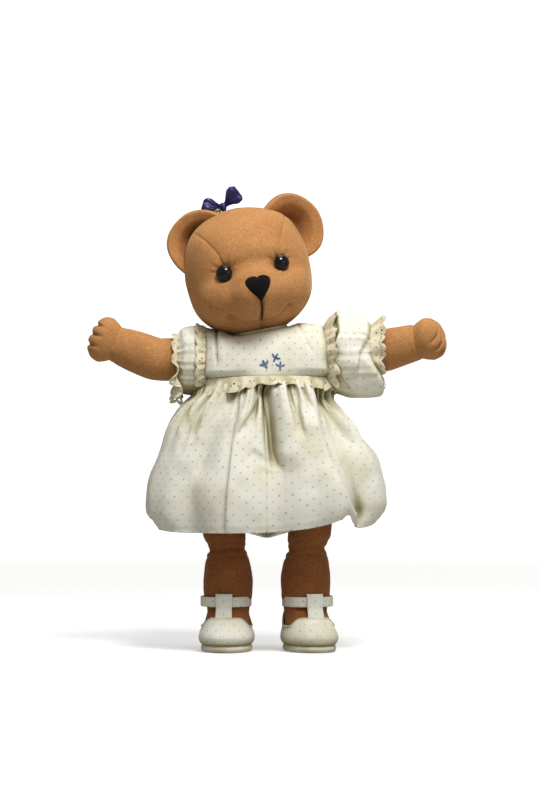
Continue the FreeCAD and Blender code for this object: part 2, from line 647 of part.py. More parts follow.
def sole_body(name, foot):
    body = doc.addObject("PartDesign::Body", name)
    sketch = body.newObject("Sketcher::SketchObject", f"{name}_outline")
    plane = next(item for item in body.Origin.OriginFeatures if item.Role == "XY_Plane")
    sketch.AttachmentSupport = [(plane, "")]
    sketch.MapMode = "FlatFace"
    heel_r, toe_r = sheet.heel_radius, sheet.toe_radius
    heel_y, toe_y = sheet.heel_back, -sheet.toe_front
    up = FreeCAD.Vector(0, 0, 1)
    heel_round = Part.Circle(FreeCAD.Vector(0, heel_y, 0), up, heel_r)
    toe_round = Part.Circle(FreeCAD.Vector(0, toe_y, 0), up, toe_r)
    heel = sketch.addGeometry(Part.ArcOfCircle(heel_round, 0, math.pi))
    toe = sketch.addGeometry(Part.ArcOfCircle(toe_round, math.pi, 2 * math.pi))
    inner, outer = [
        sketch.addGeometry(Part.LineSegment(FreeCAD.Vector(*start, 0), FreeCAD.Vector(*end, 0)))
        for start, end in (((-heel_r, heel_y), (-toe_r, toe_y)), ((toe_r, toe_y), (heel_r, heel_y)))
    ]
    start, end, middle = 1, 2, 3
    across, upright = -1, -2
    sketch.addConstraint([
        Sketcher.Constraint("Tangent", heel, end, inner, start),
        Sketcher.Constraint("Tangent", inner, end, toe, start),
        Sketcher.Constraint("Tangent", toe, end, outer, start),
        Sketcher.Constraint("Tangent", outer, end, heel, start),
        Sketcher.Constraint("PointOnObject", heel, middle, upright),
        Sketcher.Constraint("PointOnObject", toe, middle, upright),
    ])
    for kind, geometry, text in (
        ("Radius", (heel, heel_r), "heel_radius"),
        ("Radius", (toe, toe_r), "toe_radius"),
        ("DistanceY", (across, start, heel, middle, heel_y), "heel_back"),
        ("DistanceY", (toe, middle, across, start, -toe_y), "toe_front"),
    ):
        index = sketch.addConstraint(Sketcher.Constraint(kind, *geometry))
        bind(sketch, **{f"Constraints[{index}]": text})
    pad = body.newObject("PartDesign::Pad", f"{name}_pad")
    pad.Profile = sketch
    bind(pad, Length="sole")
    doc.recompute()
    top = [f"Face{index}" for index, side in enumerate(pad.Shape.Faces, start=1)
           if abs(side.CenterOfMass.z - sheet.sole) < sheet.press_gap]
    edge = body.newObject("PartDesign::Fillet", f"{name}_edge")
    edge.Base = (pad, top)
    bind(edge, Radius="sole_edge")
    body.Tip = edge
    return bind(body, Placement=foot)


def shoe(side, sign, foot):
    node(sole_body(f"{side}_shoe_sole", foot))
    outside = shank(f"{side}_shoe_outside", side, sign, "(soft_gap + shoe_wall)", "sole")
    inside = shank(f"{side}_shoe_inside", side, sign, "soft_gap", "sole")
    above = block(f"{side}_shoe_above", ("-reach", "-reach", "shoe_top"), ("reach", "reach", "reach"))
    mouth = cylinder(f"{side}_shoe_opening", "shoe_mouth", "reach", f"{foot} * {at(z='heel_cup')}")
    node(cut(f"{side}_shoe_upper", outside, inside, above, mouth))
    ankle = at(f"{sign} * calf_half", "0", "0", "0; 0; 1", f"{sign} * {side}_toe_out")
    low = f"{ankle} * {at(z='strap_low')}"
    band = cylinder(f"{side}_strap_outside", "strap_radius + shoe_wall", "strap_width", low)
    inside = cylinder(f"{side}_strap_inside", "strap_radius", "strap_width", low)
    node(cut(f"{side}_shoe_strap", band, inside))
    tall = cylinder(f"{side}_tab_outside", "strap_radius + 2 * shoe_wall + press_gap", "tab_top", ankle)
    core = cylinder(f"{side}_tab_inside", "strap_radius + shoe_wall + press_gap", "tab_top", ankle)
    front = block(f"{side}_tab_front", ("-tab_width / 2", "-reach", "instep_height"),
                  ("tab_width / 2", "0", "tab_top"), ankle)
    strip = common(f"{side}_tab_strip", [cut(f"{side}_tab_tube", tall, core), front])
    seat = shank(f"{side}_tab_seat", side, sign, "(soft_gap + shoe_wall + press_gap)", "sole")
    node(cut(f"{side}_shoe_tab", strip, seat))


# Dress
YOKE_RIMS = 4
BUTTONS = 3


def yoke_dome(name, grow):
    rims = []
    for index in range(YOKE_RIMS):
        rise = f"({index} * yoke_rise / {YOKE_RIMS - 1} + yoke_low - chest_height)"
        share = f"sqrt(1 - pow({rise} / yoke_z; 2))"
        half_x, half_y = f"yoke_x * {share} + {grow}", f"yoke_y * {share} + {grow}"
        rims.append(primitive("Part::Ellipse", f"{name}_rim_{index}", at(z=f"chest_height + {rise} + {grow}"),
                              MajorRadius=half_x, MinorRadius=half_y))
    return loft(name, rims)


def yoke_shape(name, grow):
    parts = [yoke_dome(f"{name}_dome", grow)]
    for side, sign in SIDES:
        place = at(f"{sign} * shoulder_root", "0", f"{side}_shoulder_height", "0; 1; 0", f"{sign} * 90")
        parts.append(cylinder(f"{name}_{side}_shoulder", f"shoulder_radius + soft_gap + cloth + {grow}",
                              "shoulder_half - shoulder_root", place))
    parts.append(cylinder(f"{name}_collar", f"collar_radius + {grow}", "neck_length - collar_drop",
                          f"{NECK} * {at(z='-neck_length')}"))
    return fuse(name, parts)


def yoke():
    low = ("-reach", "-reach", "-reach")
    wall = cut("yoke_wall", yoke_shape("yoke_outside", "0"), yoke_shape("yoke_inside", "(-cloth)"))
    below = block("yoke_below", low, ("reach", "reach", "waist_height"))
    above = block("yoke_above", ("-reach", "-reach", "-collar_drop"), ("reach", "reach", "reach"), NECK)
    throat = cylinder("yoke_throat", "collar_radius - cloth", "neck_length + reach",
                      f"{NECK} * {at(z='-neck_length / 2')}")
    openings = [cylinder(f"yoke_{side}_armhole", "shoulder_radius + soft_gap", "reach",
                         at(f"{sign} * (sleeve_start - 2 * cloth)", "0", f"{side}_shoulder_height",
                            "0; 1; 0", f"{sign} * 90"))
                for side, sign in SIDES]
    arms = [cylinder(f"yoke_{side}_arm_room", "sleeve_end", "reach",
                     shoulder_frame(side, sign)) for side, sign in SIDES]
    node(cut("dress_yoke", wall, below, above, throat, *openings, *arms))
    edge = f"{NECK} * {at(z='binding_radius + press_gap - collar_drop')}"
    node(primitive("Part::Torus", "neck_binding", edge, Radius1="collar_radius - cloth / 2",
                   Radius2="binding_radius"))


def sleeve_body(side, sign):
    """A barrel turned about the shoulder axis: two concentric arcs between its end circles."""
    half, puff = f"{side}_sleeve_half", f"{side}_sleeve_puff"
    swell = f"({puff} - sleeve_end)"
    arc_radius = f"({half} * {half} + {swell} * {swell}) / (2 * {swell})"
    half_now = sheet.get(half)
    swell_now = sheet.get(puff) - sheet.sleeve_end
    radius_now = (half_now ** 2 + swell_now ** 2) / (2 * swell_now)
    middle_now = sheet.get(puff) - radius_now
    body = doc.addObject("PartDesign::Body", f"{side}_sleeve_barrel")
    sketch = body.newObject("Sketcher::SketchObject", f"{side}_sleeve_outline")
    plane = next(item for item in body.Origin.OriginFeatures if item.Role == "XY_Plane")
    sketch.AttachmentSupport = [(plane, "")]
    sketch.MapMode = "FlatFace"
    centre = FreeCAD.Vector(0, middle_now, 0)
    up = FreeCAD.Vector(0, 0, 1)
    arcs = []
    for radius in (radius_now, radius_now - sheet.cloth):
        lean = math.asin(half_now / radius)
        arcs.append(sketch.addGeometry(Part.ArcOfCircle(
            Part.Circle(centre, up, radius), math.pi / 2 - lean, math.pi / 2 + lean)))
    walls = []
    for way in (1, -1):
        top = FreeCAD.Vector(way * half_now, sheet.sleeve_end, 0)
        bottom = FreeCAD.Vector(way * half_now, sheet.sleeve_end - sheet.cloth, 0)
        walls.append(sketch.addGeometry(Part.LineSegment(top, bottom)))
    start, end, middle = 1, 2, 3
    across, upright = -1, -2
    outer, inner = arcs
    sketch.addConstraint([
        Sketcher.Constraint("Coincident", outer, middle, inner, middle),
        Sketcher.Constraint("Symmetric", outer, start, outer, end, upright),
        Sketcher.Constraint("Coincident", outer, start, walls[0], start),
        Sketcher.Constraint("Coincident", inner, start, walls[0], end),
        Sketcher.Constraint("Coincident", outer, end, walls[1], start),
        Sketcher.Constraint("Coincident", inner, end, walls[1], end),
        Sketcher.Constraint("Vertical", walls[0]),
        Sketcher.Constraint("Vertical", walls[1]),
    ])
    for kind, geometry, text in (
        ("Radius", (outer, radius_now), arc_radius),
        ("Radius", (inner, radius_now - sheet.cloth), f"{arc_radius} - cloth"),
        ("DistanceX", (across, start, outer, start, half_now), half),
        ("DistanceY", (across, start, outer, start, sheet.sleeve_end), "sleeve_end"),
    ):
        index = sketch.addConstraint(Sketcher.Constraint(kind, *geometry))
        bind(sketch, **{f"Constraints[{index}]": text})
    turned = body.newObject("PartDesign::Revolution", f"{side}_sleeve_turned")
    turned.Profile = sketch
    turned.ReferenceAxis = (sketch, ["H_Axis"])
    turned.Angle = 360
    return bind(body, Placement=at(f"{sign} * (sleeve_start + {half})", "0", f"{side}_shoulder_height"))


def sleeves():
    for side, sign in SIDES:
        node(cut(f"{side}_sleeve", sleeve_body(side, sign), yoke_dome(f"{side}_sleeve_seat", "press_gap")))
        reach_out = f"{sign} * (sleeve_start + 2 * {side}_sleeve_half)"
        end = at(reach_out, "0", f"{side}_shoulder_height", "0; 1; 0", f"{sign} * 90")
        cones = [primitive("Part::Cone", f"{side}_cuff_{name}", end, Radius1=f"sleeve_end - {inset}",
                           Radius2=f"sleeve_end + cuff_lace_flare - {inset}", Height="cuff_lace_width")
                 for name, inset in (("outside", "0"), ("inside", "lace"))]
        node(cut(f"{side}_cuff_lace", *cones))


def tube(name, sections, wall):
    """A cloth tube through elliptical sections, each given as height, half width and half depth."""
    lofts = []
    for layer, inset in (("outside", "0"), ("inside", wall)):
        rims = []
        for index, (height, half_x, half_y) in enumerate(sections):
            rims.append(primitive("Part::Ellipse", f"{name}_{layer}_{index}", at(z=height),
                                  MajorRadius=f"{half_x} - {inset}", MinorRadius=f"{half_y} - {inset}"))
        lofts.append(loft(f"{name}_{layer}", rims))
    return cut(name, *lofts)


def folded_rim(name, height, half_x, half_y, depth):
    """A closed edge at one height: an oval drawn in and let out by the soft folds of the skirt."""
    count = int(sheet.fold_count)
    steps = count * int(sheet.fold_steps)
    points = []
    for step in range(steps):
        turn = 2 * math.pi * step / steps
        swing = count * (turn - math.radians(sheet.fold_turn))
        fold = depth * (sheet.fold_pinch - math.cos(swing) - sheet.fold_pinch * math.cos(2 * swing))
        across, deep = (half_x + fold) * math.sin(turn), -(half_y + fold) * math.cos(turn)
        points.append(FreeCAD.Vector(across, deep, height))
    edge = Part.BSplineCurve()
    edge.interpolate(Points=points, PeriodicFlag=True)
    rim = doc.addObject("Part::Feature", name)
    rim.Shape = Part.Wire([edge.toShape()])
    return rim


def skirt():
    rim = "sqrt(1 - pow((waist_height - chest_height) / yoke_z; 2))"
    top_x, top_y = f"yoke_x * {rim}", f"yoke_y * {rim}"
    seam = math.sqrt(1 - ((sheet.waist_height - sheet.chest_height) / sheet.yoke_z) ** 2)
    waist_x, waist_y = sheet.yoke_x * seam, sheet.yoke_y * seam
    layers = []
    for layer, inset in (("outside", 0), ("inside", sheet.cloth)):
        layers.append(loft(f"dress_skirt_{layer}", [
            folded_rim(f"dress_skirt_{layer}_{index}", height, half_x - inset, half_y - inset, depth)
            for index, (height, half_x, half_y, depth) in enumerate((
                (sheet.waist_height, waist_x, waist_y, 0),
                (sheet.waist_height - sheet.skirt_top_drop, waist_x + sheet.cloth, waist_y + sheet.cloth, 0),
                (sheet.skirt_hip_height, sheet.skirt_hip_x, sheet.skirt_hip_y, sheet.fold_depth),
                (sheet.skirt_full_height, sheet.skirt_full_x, sheet.skirt_full_y, sheet.fold_depth),
                (sheet.hem_height, sheet.hem_x, sheet.hem_y, sheet.fold_depth),
            ))
        ]))
    node(cut("dress_skirt", *layers))
    ruffle = tube("waist_ruffle", [
        ("waist_height", f"{top_x} + lace + soft_gap", f"{top_y} + lace + soft_gap"),
        ("waist_height - waist_lace_width", f"{top_x} + cloth + lace + waist_lace_flare",
         f"{top_y} + cloth + lace + waist_lace_flare"),
    ], "lace")
    front = block("waist_lace_span", ("-waist_lace_half", "-reach", "hem_height"),
                  ("waist_lace_half", "reach", "waist_height"))
    node(common("waist_lace", [ruffle, front]))


def bloomers():
    place = at(z="hip_height + bloomer_rise")
    top = "hip_height + bloomer_top_rise"
    outside = ellipsoid("bloomers_outside", ("bloomer_x", "bloomer_y", "bloomer_z"), place)
    inside = ellipsoid("bloomers_inside", [f"bloomer_{axis} - cloth" for axis in "xyz"], place)
    wall = cut("bloomers_wall", outside, inside)
    above = block("bloomers_above", ("-reach", "-reach", top), ("reach", "reach", f"reach + {top}"))
    slab = block("bloomers_slab", ("-reach", "-reach", f"{top} - bloomer_band"), ("reach", "reach", top))
    rim = ellipsoid("bloomers_rim", ("bloomer_x", "bloomer_y", "bloomer_z"), place)
    waist = torso_shape("bloomers_waist", "(-soft_gap)")
    band = cut("bloomers_band", common("bloomers_ring", [rim, slab]), waist)
    holes = [cylinder(f"bloomers_{side}_hole", "hip_radius + leg_hole_gap", "hip_height + leg_hole_rise",
                      at(f"{sign} * thigh_half")) for side, sign in SIDES]
    node(fuse("bloomers", [cut("bloomers_pants", wall, above, *holes), band]))


def buttons():
    seat = yoke_dome("button_seat", "press_gap")
    discs = []
    for index in range(BUTTONS):
        height = f"button_height + {index} * button_pitch"
        depth = f"yoke_y * sqrt(1 - pow(({height} - chest_height) / yoke_z; 2)) + button_thick"
        back = at("0", "0", height, "1; 0; 0", "-90")
        disc = cylinder(f"button_{index}_disc", "button_radius", depth, back)
        discs.append(cut(f"button_{index}", disc, seat))
    node(compound("back_buttons", discs))


torso()
head()
face()
bow()
for side, sign in SIDES:
    arm(side, sign)
    leg(side, sign)
yoke()
sleeves()
skirt()
bloomers()
buttons()
doc.recompute()

for thing in doc.Objects:
    if {"Invalid", "Error"} & set(thing.State):
        raise RuntimeError(f"{thing.Label} failed: {thing.State}")
os.makedirs("parts", exist_ok=True)
for name, thing in nodes.items():
    if thing.Shape.isNull() or not thing.Shape.isValid():
        raise RuntimeError(f"{name} has no valid shape")
for name, thing in nodes.items():
    thing.Shape.exportStep(f"parts/{name}.step")
print(len(nodes), "sub-parts")
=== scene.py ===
# Jointed teddy bear in a cotton dress. Lengths in this file are millimetres until a mesh is made.
import math
import bpy
import numpy as np
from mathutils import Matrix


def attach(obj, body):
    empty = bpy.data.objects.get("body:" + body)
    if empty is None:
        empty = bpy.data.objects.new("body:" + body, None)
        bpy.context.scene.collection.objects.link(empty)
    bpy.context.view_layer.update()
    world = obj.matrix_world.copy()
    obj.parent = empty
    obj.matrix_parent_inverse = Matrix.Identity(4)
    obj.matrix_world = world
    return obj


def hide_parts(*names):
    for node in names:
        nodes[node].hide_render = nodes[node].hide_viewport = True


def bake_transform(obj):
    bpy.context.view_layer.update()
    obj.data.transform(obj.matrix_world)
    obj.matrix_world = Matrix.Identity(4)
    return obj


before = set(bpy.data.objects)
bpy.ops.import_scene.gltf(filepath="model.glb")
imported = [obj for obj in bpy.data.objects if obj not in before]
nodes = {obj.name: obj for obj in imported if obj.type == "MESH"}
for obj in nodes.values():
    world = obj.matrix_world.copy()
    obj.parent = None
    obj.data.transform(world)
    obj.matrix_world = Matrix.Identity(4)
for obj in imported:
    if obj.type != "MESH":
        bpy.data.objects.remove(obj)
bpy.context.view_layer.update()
print("frame loaded:", len(nodes), "nodes")


bothSides = (("left", 1), ("right", -1))


# Tools for shapes

def smooth(low, high, value):
    # 0 below low, 1 above high, and an S curve between
    t = np.clip((value - low) / (high - low), 0, 1)
    return t * t * (3 - 2 * t)


def bump(value, centre, width):
    # a hill of height 1 at centre that fades over width
    return np.exp(-((value - centre) / width) ** 2)


def through(keys, values, at):
    # a smooth line through the values at the keys, with slopes that never overshoot
    keys, values, at = np.asarray(keys, float), np.asarray(values, float), np.asarray(at, float)
    steps = np.diff(keys)
    rise = np.diff(values) / steps
    slope = np.zeros_like(values)
    same = rise[:-1] * rise[1:] > 0
    mean = 2 * rise[:-1] * rise[1:] / np.where(same, rise[:-1] + rise[1:], 1)
    slope[1:-1] = np.where(same, mean, 0)
    slope[0], slope[-1] = rise[0], rise[-1]
    k = np.clip(np.searchsorted(keys, at, side="right") - 1, 0, len(keys) - 2)
    t = np.clip((at - keys[k]) / steps[k], 0, 1)
    a, b = values[k], values[k + 1]
    return ((2 * t**3 - 3 * t**2 + 1) * a + (t**3 - 2 * t**2 + t) * steps[k] * slope[k]
            + (3 * t**2 - 2 * t**3) * b + (t**3 - t**2) * steps[k] * slope[k + 1])


def profile(shape, along, keys, at):
    # several measures of a shape, each a smooth line over the places in along
    return [through(shape[along], shape[key], at) for key in keys]


def spots(*parts):
    # arrays of coordinates, stretched to one shape and put side by side
    return np.stack(np.broadcast_arrays(*parts), -1)


def lumps(points, size, seed):
    # smooth random numbers from -1 to 1 over space: corners of a lattice of the given size get fixed
    # random numbers, and each point takes the S-curved mix of the eight corners round it
    q = np.asarray(points, float) / size + 40
    cell = np.floor(q).astype(np.int64)
    f = q - cell
    f = f * f * (3 - 2 * f)
    total = np.zeros(q.shape[:-1])
    for corner in np.ndindex(2, 2, 2):
        c = cell + corner
        n = (c[..., 0] * 73856093) ^ (c[..., 1] * 19349663) ^ (c[..., 2] * 83492791) ^ (seed * 2654435)
        n = ((n ^ (n >> 13)) * 1274126177) & 0xFFFFFFFF
        n = (n ^ (n >> 15)) & 0xFFFF
        total += np.prod(np.where(corner, f, 1 - f), axis=-1) * (n / 32767.5 - 1)
    return total


def lineDistance(a, b, line):
    # distance in a plane from the points (a, b) to a line of straight runs; its side, 1 on the right as the
    # line goes down and -1 on the left; and the share of the way along it, which goes on past both ends
    best = np.full(np.shape(a), 1e9)
    side = np.zeros(np.shape(a))
    share = np.zeros(np.shape(a))
    runs = len(line) - 1
    for k in range(runs):
        (a0, b0), (a1, b1) = line[k], line[k + 1]
        run = (a1 - a0) ** 2 + (b1 - b0) ** 2
        t = ((a - a0) * (a1 - a0) + (b - b0) * (b1 - b0)) / run
        kept = np.clip(t, 0, 1)
        d = np.hypot(a - a0 - kept * (a1 - a0), b - b0 - kept * (b1 - b0))
        cross = (b1 - b0) * (a - a0) - (a1 - a0) * (b - b0)
        side = np.where(d < best, np.sign(-cross), side)
        past = np.clip(t, -9.0 if k == 0 else 0.0, 9.0 if k == runs - 1 else 1.0)
        share = np.where(d < best, (k + past) / runs, share)
        best = np.minimum(best, d)
    return best, side, share


def ringAngles(count):
    # the angles of a closed ring of columns, as one row
    return np.linspace(0, 2 * math.pi, count, endpoint=False)[None, :]


def rowShares(count):
    # shares from 0 to 1 for the rows, as one column
    return np.linspace(0, 1, count)[:, None]


def squarish(wave, power):
    # a sine or a cosine with its size raised to a power and its sign kept
    return np.sign(wave) * np.abs(wave) ** power


def turned(points, degrees, axis):
    # points turned about the x, y or z axis through the origin
    c, s = math.cos(math.radians(degrees)), math.sin(math.radians(degrees))
    matrix = {"x": [[1, 0, 0], [0, c, -s], [0, s, c]],
              "y": [[c, 0, s], [0, 1, 0], [-s, 0, c]],
              "z": [[c, -s, 0], [s, c, 0], [0, 0, 1]]}[axis]
    return np.asarray(points, float) @ np.array(matrix).T


def normalsOf(points, around):
    # unit normals of a grid, from the cross product of its two directions
    down = np.gradient(points, axis=0)
    if around:
        across = (np.roll(points, -1, 1) - np.roll(points, 1, 1)) / 2
    else:
        across = np.gradient(points, axis=1)
    n = np.cross(across, down)
    return n / np.maximum(np.linalg.norm(n, axis=-1, keepdims=True), 1e-9)


def outwardFrom(centre, points, around):
    # unit normals that point away from a centre
    out = normalsOf(points, around)
    return out * np.sign((out * (points - np.array(centre))).sum(-1, keepdims=True))


def putMesh(name, points, faces, corners=None):
    # faces is a list of arrays of vertex numbers, all quads or all triangles; corners are the UVs, one for
    # each corner of each face
    mesh = bpy.data.meshes.new(name)
    ring = np.concatenate([f.ravel() for f in faces])
    sizes = np.concatenate([np.full(len(f), f.shape[1]) for f in faces])
    centred = points - points.mean(0)
    volume = 0
    for f in faces:
        a, b, c = centred[f[:, 0]], centred[f[:, 1]], centred[f[:, 2]]
        volume += np.einsum("ij,ij->", np.cross(a, b), c)
        if f.shape[1] == 4:
            volume += np.einsum("ij,ij->", np.cross(a, c), centred[f[:, 3]])
    if volume < 0:  # faces point outwards
        ring = np.concatenate([f[:, ::-1].ravel() for f in faces])
        if corners is not None:
            corners = [c[:, ::-1] for c in corners]
    mesh.vertices.add(len(points))
    mesh.vertices.foreach_set("co", (points * 0.001).astype(np.float32).ravel())
    mesh.loops.add(len(ring))
    mesh.loops.foreach_set("vertex_index", ring.astype(np.int32))
    mesh.polygons.add(len(sizes))
    starts = np.concatenate([[0], np.cumsum(sizes)[:-1]])
    mesh.polygons.foreach_set("loop_start", starts.astype(np.int32))
    if corners is not None:
        layer = mesh.uv_layers.new(name="cloth")
        flat = np.concatenate([c.reshape(-1, 2) for c in corners])
        layer.uv.foreach_set("vector", flat.astype(np.float32).ravel())
    mesh.update(calc_edges=True)
    mesh.validate()
    mesh.shade_smooth()
    thing = bpy.data.objects.new(name, mesh)
    bpy.context.scene.collection.objects.link(thing)
    return thing


def gridPiece(name, points, around=False, caps=(False, False), uv=None, keep=None):
    # rows x columns x 3 points become one surface. around joins the last column to the first, caps close the
    # first and the last row on their middle points, uv is in millimetres with one column more where it goes
    # around, and keep says which cells are there
    rows, cols = points.shape[:2]
    i = np.arange(rows - 1)[:, None]
    j = np.arange(cols if around else cols - 1)[None, :]
    k = (j + 1) % cols
    quads = spots(i * cols + j, i * cols + k, (i + 1) * cols + k, (i + 1) * cols + j)
    kept = np.ones(quads.shape[:2], bool) if keep is None else keep
    flat = [points.reshape(-1, 3)]
    faces = [quads[kept]]
    corners = None
    if uv is not None:
        cell = np.stack([uv[:-1, :-1], uv[:-1, 1:], uv[1:, 1:], uv[1:, :-1]], 2)
        corners = [cell[:, :quads.shape[1]][kept]]
    for end, row in ((0, 0), (1, rows - 1)):
        if caps[end]:
            middle = sum(len(f) for f in flat)
            flat.append(points[row].mean(0)[None])
            a, b = row * cols + np.arange(cols), row * cols + (np.arange(cols) + 1) % cols
            centre = np.full(cols, middle)
            faces.append(np.stack([a, centre, b] if end == 0 else [a, b, centre], -1))
            if corners is not None:
                u = uv[row]
                mid = np.broadcast_to(u.mean(0), (cols, 2))
                corners.append(np.stack([u[:-1], mid, u[1:]] if end == 0 else [u[:-1], u[1:], mid], 1))
    return putMesh(name, np.concatenate(flat), faces, corners)


def closedPiece(name, points, uv=None):
    # a grid that goes around and is closed at both ends
    return gridPiece(name, points, around=True, caps=(True, True), uv=uv)


def thicken(thing, thickness, offset=0):
    wall = thing.modifiers.new("wall", "SOLIDIFY")
    wall.thickness = thickness * 0.001
    wall.offset = offset


def finishPiece(thing, body, slot, material, *stands):
    thing.data.materials.append(material)
    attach(thing, body)
    if stands:
        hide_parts(*stands)


def tubeAlong(line, radius, sides=10):
    # a round bar along the points of a line: each ring lies across the line's direction, in a frame carried
    # along without turning; radius may differ from point to point
    line = np.asarray(line, float)
    ahead = np.gradient(line, axis=0)
    ahead /= np.linalg.norm(ahead, axis=1, keepdims=True)
    side = np.cross(ahead[0], [0.12, 0.31, 0.94])
    beside = []
    for direction in ahead:
        side = side - direction * (side @ direction)
        side = side / np.linalg.norm(side)
        beside.append(side)
    beside = np.array(beside)
    up = np.cross(ahead, beside)
    turn = ringAngles(sides)[..., None]
    radius = np.broadcast_to(np.asarray(radius, float), (len(line),))[:, None, None]
    return line[:, None] + radius * (np.cos(turn) * beside[:, None] + np.sin(turn) * up[:, None])


# Tools for materials, and the cloths

def linear(code, alpha=1.0):
    # an sRGB hex colour as Blender's linear numbers
    parts = [int(code[k:k + 2], 16) / 255 for k in (1, 3, 5)]
    return [p / 12.92 if p <= 0.04045 else ((p + 0.055) / 1.055) ** 2.4 for p in parts] + [alpha]


def startMaterial(name):
    made = bpy.data.materials.new(name)
    made.use_nodes = True
    made.node_tree.nodes.clear()
    return made


def addNode(made, kind, settings=None, **sockets):
    # one node: settings are its own properties; sockets are named, or in0, in1 by number, and hold a value
    # or another node's output
    node = made.node_tree.nodes.new(kind)
    for key, value in (settings or {}).items():
        setattr(node, key, value)
    for key, value in sockets.items():
        number = key[2:] if key.startswith("in") and key[2:].isdigit() else None
        socket = node.inputs[int(number)] if number else node.inputs[key.replace("_", " ")]
        if isinstance(value, bpy.types.NodeSocket):
            made.node_tree.links.new(value, socket)
        else:
            socket.default_value = value
    return node


def sums(made, operation, first, second=0.0, third=0.0):
    node = addNode(made, "ShaderNodeMath", {"operation": operation}, in0=first, in1=second, in2=third)
    return node.outputs[0]


def mixed(made, share, first, second):
    return addNode(made, "ShaderNodeMix", {"data_type": "RGBA"}, in0=share, in6=first, in7=second).outputs[2]


def tinted(made, share, amount, colour, tone):
    # the colour, drawn towards a tone by an amount times the share
    return mixed(made, sums(made, "MULTIPLY", share, amount), colour, linear(tone))


def objectPlace(made):
    return addNode(made, "ShaderNodeTexCoord").outputs["Object"]


def placedMaterial(name):
    # a new material and the output that holds the object's own coordinates
    made = startMaterial(name)
    return made, objectPlace(made)


def noise(made, place, scale, **sockets):
    return addNode(made, "ShaderNodeTexNoise", Vector=place, Scale=scale, **sockets).outputs[0]


def stretched(made, value, low, high, **sockets):
    # the value, spread evenly from low to high
    return addNode(made, "ShaderNodeMapRange", Value=value, To_Min=low, To_Max=high, **sockets).outputs[0]


def ramp(made, value, low, high):
    node = addNode(made, "ShaderNodeMapRange", {"interpolation_type": "SMOOTHSTEP"}, Value=value,
                   From_Min=low, From_Max=high)
    return node.outputs[0]


def finishMaterial(made, colour, height=None, bumpSize=0.3, strength=1.0, **sockets):
    if height is not None:
        bumped = addNode(made, "ShaderNodeBump", Strength=strength, Distance=bumpSize * 0.001, Height=height)
        sockets["Normal"] = bumped.outputs[0]
    shader = addNode(made, "ShaderNodeBsdfPrincipled", Base_Color=colour, **sockets)
    addNode(made, "ShaderNodeOutputMaterial", Surface=shader.outputs[0])
    return made


def hollowShade(made, distance):
    # 0 in the open, towards 1 where the surface lies in a fold or a seam: it says where shade is painted
    # into the colour
    clear = addNode(made, "ShaderNodeAmbientOcclusion", {"samples": 6}, Distance=distance).outputs["AO"]
    return ramp(made, sums(made, "SUBTRACT", 1.0, clear), 0.12, 0.85)


def velourMaterial(name, tone, light, deep, worn):
    # knitted polyester velour: a short dense nap that scatters light, paler where it is brushed up, darker
    # where it lies down, with fine mottling about 0.8 mm across; it shines softly at grazing angles. In its
    # folds, seams and other hollows it is painted darker, as shade
    made, place = placedMaterial(name)
    fine = noise(made, place, 1150.0, Detail=3.0, Roughness=0.7)
    mottle = noise(made, place, 420.0, Detail=3.0, Roughness=0.6)
    broad = noise(made, place, 32.0, Detail=2.0)
    colour = mixed(made, ramp(made, broad, 0.3, 0.72), linear(tone), linear(worn))
    colour = tinted(made, ramp(made, mottle, 0.44, 0.7), 0.3, colour, light)
    colour = tinted(made, ramp(made, fine, 0.58, 0.36), 0.6, colour, deep)
    # painted shade: darker in folds, seams and other hollows
    colour = tinted(made, hollowShade(made, 0.014), 0.75, colour, deep)
    return finishMaterial(made, colour, sums(made, "ADD", fine, mottle), 0.35, 0.75, Roughness=0.93,
                          Specular_IOR_Level=0.15, Sheen_Weight=0.5, Sheen_Roughness=0.4,
                          Sheen_Tint=linear("#f2d09a"))


